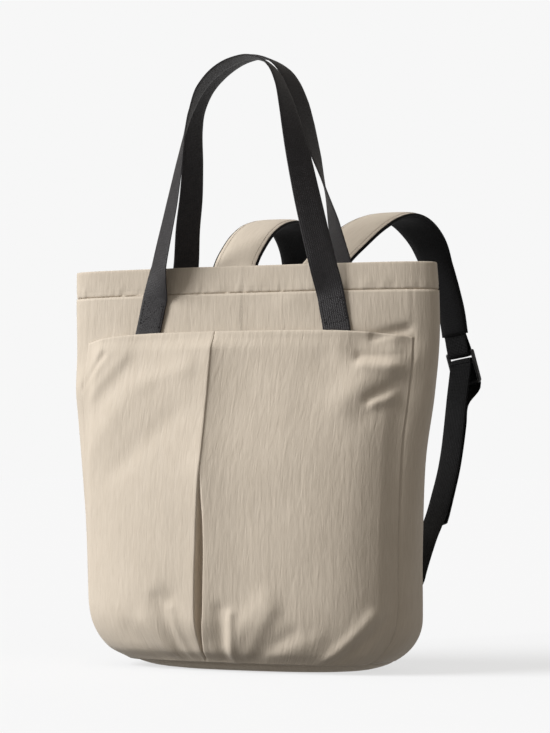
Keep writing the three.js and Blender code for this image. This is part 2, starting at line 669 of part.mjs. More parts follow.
// Distances down from the padded end to the buckle's middle bar.
const BAR_SPACING = 2 * BEND_RADIUS + WEBBING_THICKNESS + 2 * SEAT;
const MIDDLE_BAR = BUCKLE_DROP + BAR_SPACING;

// A ladder-lock: two rails and three bars with two windows.
function buckle(side, end) {
  const halfWindow = WEBBING_WIDTH / 2 + BUCKLE_PLAY;
  const half = halfWindow + BUCKLE_RAIL;
  const top = BUCKLE_BAR / 2;
  const outline = new THREE.Shape();
  outline.moveTo(-half, top - BUCKLE_RAIL / 2);
  outline.lineTo(-half + BUCKLE_RAIL / 2, top);
  outline.lineTo(half - BUCKLE_RAIL / 2, top);
  outline.lineTo(half, top - BUCKLE_RAIL / 2);
  outline.lineTo(half, top - BUCKLE_HEIGHT + BUCKLE_RAIL);
  outline.lineTo(half - BUCKLE_RAIL, top - BUCKLE_HEIGHT);
  outline.lineTo(-half + BUCKLE_RAIL, top - BUCKLE_HEIGHT);
  outline.lineTo(-half, top - BUCKLE_HEIGHT + BUCKLE_RAIL);
  outline.closePath();
  const windows = [
    [-BUCKLE_BAR / 2, -BAR_SPACING + BUCKLE_BAR / 2],
    [-BAR_SPACING - BUCKLE_BAR / 2, top - BUCKLE_HEIGHT + BUCKLE_BAR],
  ];
  for (const [high, low] of windows) {
    const hole = new THREE.Path();
    hole.moveTo(-halfWindow, high);
    hole.lineTo(-halfWindow, low);
    hole.lineTo(halfWindow, low);
    hole.lineTo(halfWindow, high);
    hole.closePath();
    outline.holes.push(hole);
  }
  const geometry = new THREE.ExtrudeGeometry(outline, { depth: BUCKLE_THICKNESS, bevelEnabled: false });
  geometry.translate(0, 0, -BUCKLE_THICKNESS / 2);
  const mesh = new THREE.Mesh(geometry, blackPlastic);
  mesh.name = `buckle_${side}`;
  const up = end.down.clone().negate();
  const frame = new THREE.Matrix4().makeBasis(end.across, up, end.across.clone().cross(up));
  frame.setPosition(fromEnd(end, BUCKLE_DROP, 0));
  mesh.applyMatrix4(frame);
  return mesh;
}

// The adjusting webbing: from the bag's lower corner up behind the buckle, over its middle bar, and
// back down its outer side as a loose tail.
function strapWebbing(side, end) {
  const hand = side === 'right' ? 1 : -1;
  const lift = ANCHOR_SEAT + WEBBING_THICKNESS / 2;
  const anchor = (z) => bagPoint(hand * ANCHOR_PLACE, z, lift);
  const clear = BUCKLE_THICKNESS / 2 + WEBBING_THICKNESS / 2 + SEAT;
  const below = MIDDLE_BAR + BUCKLE_HEIGHT - BAR_SPACING + WEBBING_THICKNESS;
  const top = fromEnd(end, WEBBING_DROP, -WEBBING_BACK, -hand * WEBBING_IN);
  const foot = anchor(ANCHOR_HEIGHT + WEBBING_WIDTH / 2);
  const between = WEBBING_ROUTE.map(({ along: share, back, up }) => new THREE.Vector3(
    THREE.MathUtils.lerp(foot.x, top.x, share),
    STRAP_REACH * back,
    BAG_HEIGHT * up,
  ));
  const mainKnots = [foot, ...between, top];
  const mainCurve = new THREE.CatmullRomCurve3(mainKnots, false, 'centripetal');
  const main = spacedFrom(0, 1, WEBBING_STEPS).map((share) => mainCurve.getPoint(share));
  const bend = spacedFrom(-90, 90, BEND_STEPS).map((degrees) => {
    const angle = THREE.MathUtils.degToRad(degrees);
    return fromEnd(end, MIDDLE_BAR - BEND_RADIUS * Math.cos(angle), BEND_RADIUS * Math.sin(angle));
  });
  const outer = fromEnd(end, below, clear + SEAT);
  const tail = spacedFrom(0.02, TAIL_SHARE, TAIL_STEPS).map((share) => {
    const beside = mainCurve.getPoint(1 - share);
    const droop = TAIL_DROOP * (share / TAIL_SHARE) ** 2;
    const closing = THREE.MathUtils.smoothstep(share / TAIL_SHARE, 0, 0.4);
    const apart = THREE.MathUtils.lerp(clear + lift, 2 * lift + GAP, closing);
    return beside.addScaledVector(end.face, apart).add(new THREE.Vector3(0, 0, -droop));
  });
  const places = [anchor(ANCHOR_HEIGHT - WEBBING_WIDTH / 2), ...main, ...bend, outer, ...tail];
  const anchorNormal = plainNormal(hand * ANCHOR_PLACE, ANCHOR_HEIGHT);
  const bagAcross = anchorNormal.cross(new THREE.Vector3(0, 0, 1));
  const mainCount = main.length + 1;
  const hints = places.map((_, i) => {
    if (i < mainCount) {
      const turned = THREE.MathUtils.smoothstep(i / (mainCount - 1), 0.06, 0.45);
      return bagAcross.clone().lerp(end.across, turned);
    }
    return end.across.clone();
  });
  const stations = stationsAlong(places, hints);
  return sweptBody(`strap_webbing_${side}`, blackWebbing, stations,
    ribbonProfile(WEBBING_WIDTH, WEBBING_THICKNESS));
}

function shoulderStrap(side) {
  const group = new THREE.Group();
  const stations = strapStations(side);
  const end = strapEnd(stations);
  group.add(
    sweptBody(`strap_cover_${side}`, tanLayer, stations, padProfile(STRAP_COVER, 1)),
    sweptBody(`strap_mesh_${side}`, blackMesh, stations, padProfile(STRAP_MESH, -1)),
    strapLoop(side, end),
    buckle(side, end),
    strapWebbing(side, end),
  );
  return group;
}

const bag = new THREE.Group();
bag.add(
  ...PANELS.map(bodyPanel),
  basePanel(),
  topBand(),
  frontPocket(),
  handle('handle_front', 'front'),
  handle('handle_rear', 'rear'),
  shoulderStrap('right'),
  shoulderStrap('left'),
);

export default bag;
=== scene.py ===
"""A soft tote backpack in crinkled tan cloth with black webbing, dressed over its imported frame."""

import math

import bpy
import numpy as np
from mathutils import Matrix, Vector, noise


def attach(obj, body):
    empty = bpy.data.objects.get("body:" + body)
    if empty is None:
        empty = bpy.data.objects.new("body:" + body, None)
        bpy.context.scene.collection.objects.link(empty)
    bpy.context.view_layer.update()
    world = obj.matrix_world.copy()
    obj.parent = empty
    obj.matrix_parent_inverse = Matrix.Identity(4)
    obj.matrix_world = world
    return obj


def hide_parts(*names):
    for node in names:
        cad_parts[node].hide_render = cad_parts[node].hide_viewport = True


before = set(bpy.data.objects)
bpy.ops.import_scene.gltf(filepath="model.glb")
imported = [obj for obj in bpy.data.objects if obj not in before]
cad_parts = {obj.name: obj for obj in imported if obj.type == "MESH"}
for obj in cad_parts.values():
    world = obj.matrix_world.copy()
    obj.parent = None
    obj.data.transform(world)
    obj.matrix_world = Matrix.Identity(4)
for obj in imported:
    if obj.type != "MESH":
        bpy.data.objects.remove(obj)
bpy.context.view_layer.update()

MM = 0.001

# Camera and light. The camera looks from the front and a little from the right, close to the floor.
IMAGE_WIDTH, IMAGE_HEIGHT = 550, 733
FOCAL_PIXELS = 2210
CAMERA_AZIMUTH = math.radians(20)
CAMERA_DISTANCE = 2.028
CAMERA_HEIGHT = 0.1763
HORIZON_ROW = 473
AXIS_COLUMN = 252.3
SENSOR = 36

camera_data = bpy.data.cameras.new("camera")
camera_data.sensor_width = SENSOR
camera_data.lens = SENSOR * FOCAL_PIXELS / IMAGE_HEIGHT
camera = bpy.data.objects.new("camera", camera_data)
bpy.context.collection.objects.link(camera)
bpy.context.scene.camera = camera
yaw = CAMERA_AZIMUTH - math.atan((IMAGE_WIDTH / 2 - AXIS_COLUMN) / FOCAL_PIXELS)
pitch = math.atan((HORIZON_ROW - IMAGE_HEIGHT / 2) / FOCAL_PIXELS)
camera.location = (
    CAMERA_DISTANCE * math.sin(CAMERA_AZIMUTH),
    -CAMERA_DISTANCE * math.cos(CAMERA_AZIMUTH),
    CAMERA_HEIGHT,
)
camera.rotation_euler = (math.pi / 2 + pitch, 0, yaw)

SUN_LEFT = math.radians(59)
SUN_UP = math.radians(31)
SUN_STRENGTH = 4.5
SUN_SOFTNESS = math.radians(32)
BACKDROP = 0.93
FILL_ABOVE = 0.40
FILL_BELOW = 0.17
FILL_COLOUR = (1.0, 0.94, 0.86)
FILL_EDGE = 0.4
FLOOR_RADIUS = 60.0
FLOOR_SIDES = 64
FLOOR_DROP = 0.0003
FLOOR_GLOW = 0.665

sun_data = bpy.data.lights.new("key_light", "SUN")
sun_data.energy = SUN_STRENGTH
sun_data.angle = SUN_SOFTNESS
sun = bpy.data.objects.new("key_light", sun_data)
bpy.context.collection.objects.link(sun)
towards_sun = Vector((
    -math.sin(SUN_LEFT) * math.cos(SUN_UP),
    -math.cos(SUN_LEFT) * math.cos(SUN_UP),
    math.sin(SUN_UP),
))
sun.rotation_euler = towards_sun.to_track_quat("Z", "Y").to_euler()


def build_world():
    world = bpy.data.worlds.new("studio")
    bpy.context.scene.world = world
    world.use_nodes = True
    tree = world.node_tree
    tree.nodes.clear()
    path = tree.nodes.new("ShaderNodeLightPath")
    coordinates = tree.nodes.new("ShaderNodeTexCoord")
    separate = tree.nodes.new("ShaderNodeSeparateXYZ")
    ramp = tree.nodes.new("ShaderNodeMapRange")
    ramp.inputs["From Min"].default_value = -FILL_EDGE
    ramp.inputs["From Max"].default_value = FILL_EDGE
    ramp.inputs["To Min"].default_value = FILL_BELOW
    ramp.inputs["To Max"].default_value = FILL_ABOVE
    mix = tree.nodes.new("ShaderNodeMix")
    mix.inputs["B"].default_value = BACKDROP
    background = tree.nodes.new("ShaderNodeBackground")
    tint = tree.nodes.new("ShaderNodeMix")
    tint.data_type = "RGBA"
    tint.inputs["A"].default_value = (*FILL_COLOUR, 1)
    tint.inputs["B"].default_value = (1, 1, 1, 1)
    output = tree.nodes.new("ShaderNodeOutputWorld")
    link = tree.links.new
    link(coordinates.outputs["Generated"], separate.inputs[0])
    link(separate.outputs["Z"], ramp.inputs["Value"])
    link(path.outputs["Is Camera Ray"], mix.inputs["Factor"])
    link(ramp.outputs["Result"], mix.inputs["A"])
    link(mix.outputs["Result"], background.inputs["Strength"])
    link(path.outputs["Is Camera Ray"], tint.inputs["Factor"])
    link(tint.outputs["Result"], background.inputs["Color"])
    link(background.outputs[0], output.inputs["Surface"])


build_world()
bpy.context.scene.view_settings.view_transform = "Standard"


# Materials.

class Nodes:
    """A short way to write a node tree."""

    def __init__(self, name):
        self.material = bpy.data.materials.new(name)
        self.material.use_nodes = True
        self.tree = self.material.node_tree
        self.tree.nodes.clear()
        self.output = self.tree.nodes.new("ShaderNodeOutputMaterial")

    def add(self, kind, inputs=None, **settings):
        node = self.tree.nodes.new("ShaderNode" + kind)
        for key, value in settings.items():
            setattr(node, key, value)
        for key, value in (inputs or {}).items():
            if isinstance(value, bpy.types.NodeSocket):
                self.tree.links.new(value, node.inputs[key])
            else:
                node.inputs[key].default_value = value
        return node

    def math(self, operation, a, b=0.0):
        return self.add("Math", {0: a, 1: b}, operation=operation).outputs[0]

    def uv(self, scale):
        coordinates = self.add("TexCoord")
        return self.add("Mapping", {"Vector": coordinates.outputs["UV"], "Scale": scale}).outputs[0]

    def noise(self, vector, scale, detail=3.0, roughness=0.55, distortion=0.0):
        inputs = {"Vector": vector, "Scale": scale, "Detail": detail, "Roughness": roughness}
        return self.add("TexNoise", {**inputs, "Distortion": distortion}).outputs["Fac"]

    def ramp(self, value, low, high, to_low=0.0, to_high=1.0):
        inputs = {"Value": value, "From Min": low, "From Max": high, "To Min": to_low, "To Max": to_high}
        return self.add("MapRange", inputs).outputs["Result"]

    def tint(self, factor, a, b):
        mix = self.add("Mix", data_type="RGBA")
        self.tree.links.new(factor, mix.inputs["Factor"])
        mix.inputs["A"].default_value = (*a, 1)
        mix.inputs["B"].default_value = (*b, 1)
        return mix.outputs["Result"]

    def bump(self, height, distance, strength=1.0, normal=None):
        inputs = {"Height": height, "Distance": distance, "Strength": strength}
        if normal is not None:
            inputs["Normal"] = normal
        return self.add("Bump", inputs).outputs[0]

    def finish(self, shader):
        self.tree.links.new(shader.outputs[0], self.output.inputs["Surface"])
        return self.material


def crinkled_cloth(name, light, dark, crinkle=1.0):
    """Crinkled nylon: fine upright crinkles, a plain weave and a slight sheen. UVs are in metres."""
    n = Nodes(name)
    streak = n.noise(n.uv((1, 0.10, 1)), 620, 3, 0.55, 0.3)
    crease = n.noise(n.uv((1, 0.20, 1)), 230, 3, 0.5, 0.5)
    warp = n.math("SINE", n.add("SeparateXYZ", {0: n.uv((8400, 8400, 1))}).outputs["X"])
    weft = n.math("SINE", n.add("SeparateXYZ", {0: n.uv((8400, 8400, 1))}).outputs["Y"])
    weave = n.math("MULTIPLY", warp, weft)
    soft = n.noise(n.uv((1, 1, 1)), 22, 2)
    # Painted shade: the colour darkens along the low parts of the crinkle streaks, which the bump also
    # follows, and the soft noise adds random tone.
    crinkle_shade_and_tone = n.math("ADD", n.ramp(streak, 0.3, 0.7, -0.5, 0.5), n.ramp(soft, 0.3, 0.7, 0.2, 0.8))
    colour = n.tint(n.ramp(crinkle_shade_and_tone, -0.2, 1.2), dark, light)
    fine = n.bump(weave, 0.00004, 0.35)
    folded = n.bump(streak, 0.0007, 0.29 * crinkle, fine)
    normal = n.bump(crease, 0.0016, 0.30 * crinkle, folded)
    rough = n.ramp(crease, 0.3, 0.7, 0.68, 0.84)
    shader = n.add("BsdfPrincipled", {
        "Base Color": colour, "Roughness": rough, "Normal": normal,
        "Specular IOR Level": 0.32, "Sheen Weight": 0.12, "Sheen Roughness": 0.45,
    })
    return n.finish(shader)


def webbing_cloth(name, light, dark, twill=1.0, gloss=0.28):
    """Woven webbing: ribs across the width, broken into a twill by fine cords along it."""
    n = Nodes(name)
    parts = n.add("SeparateXYZ", {0: n.uv((1, 1, 1))})
    across = n.math("MULTIPLY", parts.outputs["X"], 3300)
    length = n.math("MULTIPLY", parts.outputs["Y"], 4300)
    rib = n.math("SINE", n.math("ADD", length, n.math("MULTIPLY", n.math("SINE", across), 1.4 * twill)))
    cord = n.math("SINE", across)
    weave = n.math("ADD", n.math("MULTIPLY", rib, 0.6), n.math("MULTIPLY", cord, 0.4))
    worn = n.noise(n.uv((1, 1, 1)), 160, 3)
    # Painted shade: the colour is lighter on the raised ribs of the weave and darker between them, as the
    # bump follows; the worn noise adds random wear.
    rib_shade_and_wear = n.math("ADD", n.ramp(weave, -1, 1, 0, 0.6), n.ramp(worn, 0.35, 0.65, 0, 0.4))
    colour = n.tint(rib_shade_and_wear, dark, light)
    normal = n.bump(weave, 0.00022, 0.8)
    shader = n.add("BsdfPrincipled", {
        "Base Color": colour, "Roughness": n.ramp(weave, -1, 1, 0.62, 0.48), "Normal": normal,
        "Specular IOR Level": gloss, "Sheen Weight": gloss / 8, "Sheen Roughness": 0.4,
    })
    return n.finish(shader)


def mesh_cloth(name, light, dark):
    """Spacer mesh: small round cells in a honeycomb."""
    n = Nodes(name)
    cells = n.add("TexVoronoi", {"Vector": n.uv((1, 1, 1)), "Scale": 520.0, "Randomness": 0.25})
    hole_shade_and_depth = n.ramp(cells.outputs["Distance"], 0.12, 0.42)
    soft = n.noise(n.uv((1, 1, 1)), 60, 2)
    # Painted shade: each cell's hole is coloured darker, as shade in the openings; the soft noise adds
    # random tone.
    colour = n.tint(n.math("MULTIPLY", hole_shade_and_depth, n.ramp(soft, 0.3, 0.7, 0.75, 1.0)), dark, light)
    shader = n.add("BsdfPrincipled", {
        "Base Color": colour, "Roughness": n.ramp(soft, 0.3, 0.7, 0.85, 0.95),
        "Normal": n.bump(hole_shade_and_depth, 0.0004, 0.8),
        "Specular IOR Level": 0.12, "Sheen Weight": 0.02,
    })
    return n.finish(shader)


def moulded_plastic(name, light, dark):
    n = Nodes(name)
    grain = n.noise(n.add("TexCoord").outputs["Object"], 2600, 2)
    patch = n.noise(n.add("TexCoord").outputs["Object"], 140, 2)
    shader = n.add("BsdfPrincipled", {
        "Base Color": n.tint(n.ramp(patch, 0.3, 0.7), dark, light),
        "Roughness": n.ramp(patch, 0.3, 0.7, 0.34, 0.46),
        "Normal": n.bump(grain, 0.00008, 0.35),
    })
    return n.finish(shader)


def studio_floor(name):
    n = Nodes(name)
    mottle = n.noise(n.add("TexCoord").outputs["Object"], 3, 2)
    colour = n.tint(mottle, (0.235, 0.240, 0.248), (0.24, 0.243, 0.25))
    lit = n.add("BsdfDiffuse", {"Color": colour})
    glow = n.add("Emission", {"Color": (1, 1, 1, 1), "Strength": FLOOR_GLOW})
    return n.finish(n.add("AddShader", {0: lit.outputs[0], 1: glow.outputs[0]}))


TAN_LIGHT, TAN_DARK = (0.560, 0.490, 0.405), (0.490, 0.425, 0.345)
TAN = crinkled_cloth("tan_cloth", TAN_LIGHT, TAN_DARK)
TAN_SMOOTH = crinkled_cloth("tan_strap_cloth", TAN_LIGHT, TAN_DARK, 0.5)
LINING = crinkled_cloth("tan_lining", (0.40, 0.36, 0.31), (0.34, 0.30, 0.26), 0.3)
THREAD = crinkled_cloth("tan_thread", (0.56, 0.50, 0.42), (0.46, 0.40, 0.33), 0.0)
WEBBING = webbing_cloth("black_webbing", (0.022, 0.020, 0.022), (0.006, 0.005, 0.006))
DARK_WEBBING = webbing_cloth("strap_webbing", (0.007, 0.007, 0.008), (0.003, 0.003, 0.003), 0.3, 0.06)
BLACK_THREAD = webbing_cloth("black_thread", (0.045, 0.043, 0.045), (0.020, 0.019, 0.020), 0.0)
MESH = mesh_cloth("black_mesh", (0.009, 0.009, 0.010), (0.003, 0.003, 0.003))
PLASTIC = moulded_plastic("black_plastic", (0.009, 0.009, 0.010), (0.006, 0.006, 0.007))


# Mesh tools. Points are in millimetres and meshes in metres.

def mesh_piece(name, points, quads, uvs, material, replaced=(), inside=None):
    """A smooth piece on the root body. uvs are one pair in metres for each point. inside is a second
    material with the count of outer faces, for as many inner faces after them."""
    mesh = bpy.data.meshes.new(name)
    mesh.from_pydata((np.asarray(points) * MM).tolist(), [], [list(map(int, q)) for q in quads])
    layer = mesh.uv_layers.new(name="UVMap")
    corner = np.empty(len(mesh.loops), dtype=np.int32)
    mesh.loops.foreach_get("vertex_index", corner)
    layer.data.foreach_set("uv", np.asarray(uvs, dtype=np.float32)[corner].ravel())
    mesh.polygons.foreach_set("use_smooth", [True] * len(mesh.polygons))
    mesh.materials.append(material)
    if inside:
        mesh.materials.append(inside[0])
        index = np.arange(len(mesh.polygons)) // inside[1] == 1
        mesh.polygons.foreach_set("material_index", index.astype(np.int32))
    mesh.validate()
    piece = bpy.data.objects.new(name, mesh)
    bpy.context.collection.objects.link(piece)
    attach(piece, "root")
    if replaced:
        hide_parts(*replaced)
    return piece


def grid_quads(rows, columns, start=0, ring=False, flip=False):
    i = np.arange(rows - 1)[:, None]
    j = np.arange(columns if ring else columns - 1)[None, :]
    k = (j + 1) % columns
    a, b = start + i * columns + j, start + i * columns + k
    c, d = start + (i + 1) * columns + k, start + (i + 1) * columns + j
    order = (a, d, c, b) if flip else (a, b, c, d)
    return np.stack([np.broadcast_to(q, a.shape) for q in order], -1).reshape(-1, 4)


def shell(outer, inner, ring):
    """Points and quads of a sheet with thickness, from two grids of the same size."""
    rows, columns = outer.shape[:2]
    count = rows * columns
    points = np.concatenate([outer.reshape(-1, 3), inner.reshape(-1, 3)])
    quads = [grid_quads(rows, columns, 0, ring), grid_quads(rows, columns, count, ring, True)]
    last = columns if ring else columns - 1
    j = np.arange(last)
    k = (j + 1) % columns
    top = (rows - 1) * columns
    quads.append(np.stack([k, j, count + j, count + k], -1))
    quads.append(np.stack([top + j, top + k, count + top + k, count + top + j], -1))
    if not ring:
        i = np.arange(rows - 1) * columns
        e = i + columns - 1
        quads.append(np.stack([i, i + columns, count + i + columns, count + i], -1))
        quads.append(np.stack([e + columns, e, count + e, count + e + columns], -1))
    return points, np.concatenate(quads)


def smooth_step(value, low, high):
    t = np.clip((value - low) / (high - low), 0, 1)
    return t * t * (3 - 2 * t)


def walk(places):
    """The distance walked to each place of a row."""
    return np.concatenate([[0], np.cumsum(np.linalg.norm(np.diff(places, axis=0), axis=-1))])


def fractal(points, scale, octaves, seed):
    """Soft noise at many points, about -1 to 1. Scale is the size of a cell on each axis, in mm."""
    flat = (np.asarray(points).reshape(-1, 3) / np.asarray(scale)) + seed * 17.31
    values = [noise.fractal(Vector(p), 0.9, 2.0, octaves) for p in flat.tolist()]
    return np.array(values).reshape(np.asarray(points).shape[:-1])


# The bag's outer surface, as in the CAD model.

BAG_HEIGHT = 365
TOP_WIDTH = 351
BASE_DEPTH = 119
LEFT_CORNER_WIDTH, LEFT_CORNER_HEIGHT = 84, 60
RIGHT_CORNER_WIDTH, RIGHT_CORNER_HEIGHT = 58, 46
TOE_DEPTH, TOE_HEIGHT = 17, 26
BAND_HEIGHT = 25
BASE_RIM = 8
GAP, SEAT = 0.3, 0.5
POCKET_HEIGHT = 304
POCKET_DIP = 7
POCKET_TURN = 0.212
PLEAT_PLACE = -21.5
FOLD_DEPTH, FOLD_WIDTH = 6, 20
SHELL_TOP = BAG_HEIGHT - BAND_HEIGHT - GAP
NOMINAL_GIRTH = 2 * (TOP_WIDTH + BASE_DEPTH / 2)

# Sections: level, half width, front, back, lean, the exponents of the superellipse in front and
# behind, and the degrees of twist.
SECTIONS = np.array([
    (0.00, 0.909, 0.99, 0.96, -0.001, 2.5, 3.2, -4.2),
    (0.16, 0.916, 1.02, 0.98, -0.003, 2.5, 3.2, -4.2),
    (0.33, 0.930, 0.97, 0.92, -0.006, 2.4, 3.0, -3.6),
    (0.53, 0.959, 0.82, 0.78, -0.009, 2.3, 2.8, -2.1),
    (0.68, 0.993, 0.68, 0.65, -0.003, 2.3, 2.7, -0.9),
    (0.82, 1.005, 0.54, 0.52, 0.004, 2.4, 2.7, 0.0),
    (0.93, 1.005, 0.46, 0.45, 0.002, 2.5, 2.7, 0.0),
    (1.00, 1.001, 0.41, 0.40, -0.001, 2.6, 2.8, 0.0),
])

# Main folds, as in the CAD model: turn, level, turn and level of the far end, height and width as
# shares of the fold depth and width.
MAIN_FOLDS = [
    (0.198, 0.70, 0.204, 0.10, -0.50, 1.1),
    (0.140, 0.66, 0.200, 0.76, 0.45, 0.8),
    (0.150, 0.79, 0.205, 0.80, -0.50, 0.7),
    (-0.215, 0.70, -0.165, 0.79, 0.45, 0.9),
    (-0.150, 0.63, -0.070, 0.71, 0.55, 1.6),
    (0.075, 0.45, 0.120, 0.20, 0.60, 3.0),
    (-0.120, 0.42, -0.100, 0.18, 0.60, 3.0),
    (0.005, 0.03, 0.060, 0.17, 0.45, 0.6),
    (-0.040, 0.03, -0.062, 0.17, -0.50, 0.6),
    (0.460, 0.60, 0.540, 0.45, 0.35, 2.5),
]


def along(table, column, value):
    """A smooth value from a table's rows, by a cubic through the neighbouring rows."""
    key = table[:, 0]
    i = int(np.clip(np.searchsorted(key, value, side="left") - 1, 0, len(key) - 2))

    def slope(k):
        low, high = max(k - 1, 0), min(k + 1, len(key) - 1)
        return (table[high, column] - table[low, column]) / (key[high] - key[low])

    span = key[i + 1] - key[i]
    t = min(max((value - key[i]) / span, 0), 1)
    u = 1 - t
    return (table[i, column] * u * u * (1 + 2 * t) + table[i + 1, column] * t * t * (3 - 2 * t)
            + span * (slope(i) * t * u * u - slope(i + 1) * t * t * u))


def corner_inset(width, height, z):
    below = max(0.0, 1 - z / height)
    return width * (1 - math.sqrt(1 - below * below))


OUTLINE_STEPS = 1440
LEVEL_STEP = 1.0
TURNS = 1200


def build_surface():
    """A table of the plain surface, with its outward normals and each level's girth."""
    levels = np.arange(0, BAG_HEIGHT + LEVEL_STEP / 2, LEVEL_STEP)
    angle = 2 * np.pi * np.arange(OUTLINE_STEPS + 1) / OUTLINE_STEPS
    s, c = np.sin(angle), -np.cos(angle)
    places = np.zeros((len(levels), TURNS + 1, 3))
    girths = np.zeros(len(levels))
    wanted = np.arange(TURNS + 1) / TURNS
    for row, z in enumerate(levels):
        level = z / BAG_HEIGHT
        inset_x = np.where(s < 0, corner_inset(LEFT_CORNER_WIDTH, LEFT_CORNER_HEIGHT, z),
                           corner_inset(RIGHT_CORNER_WIDTH, RIGHT_CORNER_HEIGHT, z))
        inset_y = corner_inset(TOE_DEPTH, TOE_HEIGHT, z)
        half = TOP_WIDTH / 2 * along(SECTIONS, 1, level) - inset_x
        front = BASE_DEPTH / 2 * along(SECTIONS, 2, level) - inset_y
        back = BASE_DEPTH / 2 * along(SECTIONS, 3, level) - inset_y
        lean = TOP_WIDTH * along(SECTIONS, 4, level)
        power = np.where(c < 0, 2 / along(SECTIONS, 5, level), 2 / along(SECTIONS, 6, level))
        twist = math.radians(along(SECTIONS, 7, level))
        flat_x = lean + half * np.sign(s) * np.abs(s) ** power
        flat_y = np.where(c < 0, front, back) * np.sign(c) * np.abs(c) ** power
        x = flat_x * math.cos(twist) - flat_y * math.sin(twist)
        y = flat_x * math.sin(twist) + flat_y * math.cos(twist)
        walked = np.concatenate([[0], np.cumsum(np.hypot(np.diff(x), np.diff(y)))])
        girths[row] = walked[-1]
        places[row, :, 0] = np.interp(wanted * walked[-1], walked, x)
        places[row, :, 1] = np.interp(wanted * walked[-1], walked, y)
        places[row, :, 2] = z
    body = places[:, :-1]
    round_way = np.roll(body, -4, 1) - np.roll(body, 4, 1)
    up_way = np.gradient(body, axis=0)
    normals = np.cross(round_way, up_way)
    normals /= np.linalg.norm(normals, axis=-1, keepdims=True)
    normals = np.concatenate([normals, normals[:, :1]], 1)
    return places, normals, girths


SURFACE, NORMALS, GIRTHS = build_surface()


def lookup(table, turn, z):
    """Bilinear values of a surface table at turns and heights."""
    column = (np.asarray(turn) % 1.0) * TURNS
    row = np.clip(np.asarray(z) / LEVEL_STEP, 0, len(table) - 1.0001)
    j, i = column.astype(int), row.astype(int)
    v, u = (column - j)[..., None], (row - i)[..., None]
    return ((table[i, j] * (1 - u) + table[i + 1, j] * u) * (1 - v)
            + (table[i, j + 1] * (1 - u) + table[i + 1, j + 1] * u) * v)


def girth(z):
    return np.interp(z, np.arange(len(GIRTHS)) * LEVEL_STEP, GIRTHS)


def front_turn(x, z):
    z = np.asarray(z, dtype=float)
    return (x - lookup(SURFACE, np.zeros_like(z), z)[..., 0]) / girth(z)


def fold_height(turn, z, rows, depth, width):
    """How far straight folds push the surface out."""
    total = np.zeros(np.broadcast(turn, z).shape)
    for start_turn, level, end_turn, end_level, height, wide in rows:
        wrapped = turn - np.round(turn - start_turn)
        start = np.array([start_turn * NOMINAL_GIRTH, level * BAG_HEIGHT])
        line = np.array([end_turn * NOMINAL_GIRTH, end_level * BAG_HEIGHT]) - start
        dx, dz = wrapped * NOMINAL_GIRTH - start[0], z - start[1]
        share = np.clip((dx * line[0] + dz * line[1]) / (line @ line), 0, 1)
        away = np.hypot(dx - share * line[0], dz - share * line[1])
        total += depth * height * np.exp(-((away / (width * wide)) ** 2))
    return total


def calm(z):
    return smooth_step(z, BASE_RIM, TOE_HEIGHT) * (
        1 - smooth_step(z, POCKET_HEIGHT - FOLD_WIDTH, SHELL_TOP))


def bag_point(turn, z, out):
    """Points at a distance out from the folded surface, as the CAD model has them."""
    out = out + fold_height(turn, z, MAIN_FOLDS, FOLD_DEPTH, FOLD_WIDTH) * calm(z)
    return lookup(SURFACE, turn, z) + lookup(NORMALS, turn, z) * out[..., None]


def cloth_uv(turn, z):
    return np.stack([turn * NOMINAL_GIRTH * MM, z * MM], -1).reshape(-1, 2)


# Finer folds of the cloth, as the main folds are, with widths in millimetres.
FINE_DEPTH = 1.4
CRINKLE = 0.8
BODY_SEED, LAYER_SEED, HEM_SEED, WAVE_SEED = 3, 5, 11, 12
FINE_FOLDS = [
    (0.165, 0.815, 0.205, 0.835, -2.2, 4.0),
    (0.150, 0.765, 0.205, 0.760, -1.8, 5.0),
    (0.155, 0.745, 0.200, 0.735, 1.6, 6.0),
    (0.165, 0.660, 0.195, 0.700, -1.8, 5.0),
    (0.172, 0.650, 0.195, 0.665, 1.6, 5.0),
    (-0.212, 0.700, -0.180, 0.780, -1.2, 4.0),
    (-0.200, 0.660, -0.150, 0.770, 0.9, 7.0),
    (-0.110, 0.710, -0.060, 0.735, 0.8, 9.0),
    (-0.078, 0.175, -0.052, 0.020, -1.1, 7.0),
    (-0.058, 0.150, -0.046, 0.020, 1.0, 5.5),
    (-0.096, 0.120, -0.062, 0.020, 0.8, 8.0),
    (-0.120, 0.100, -0.080, 0.020, -0.7, 9.0),
    (0.004, 0.150, 0.004, 0.020, -1.3, 7.0),
    (0.018, 0.140, 0.015, 0.020, 1.3, 4.5),
    (0.030, 0.020, 0.066, 0.150, 1.0, 7.0),
    (0.034, 0.020, 0.092, 0.100, -0.8, 7.0),
    (0.050, 0.020, 0.120, 0.085, 0.7, 8.0),
    (0.135, 0.020, 0.180, 0.140, 1.8, 6.5),
    (0.150, 0.010, 0.196, 0.125, -1.6, 6.5),
    (-0.200, 0.500, -0.130, 0.700, 0.9, 14.0),
    (-0.150, 0.480, -0.070, 0.620, -0.8, 12.0),
    (0.060, 0.900, 0.150, 0.700, 0.9, 14.0),
    (0.110, 0.760, 0.160, 0.620, -0.8, 12.0),
]


def crinkles(turn, z, seed, size):
    """Upright crinkles of the nylon, in millimetres."""
    spread = np.stack([turn * NOMINAL_GIRTH, z, np.zeros_like(z)], -1)
    long_ones = fractal(spread, (7, 55, 10), 2, seed)
    wide_ones = fractal(spread, (48, 95, 10), 2, seed + 1)
    return size * (0.10 * long_ones + 0.75 * wide_ones)


# Body of the bag.

BODY_TURNS = 330
BODY_LEVELS = 130
CLOTH = 2.0


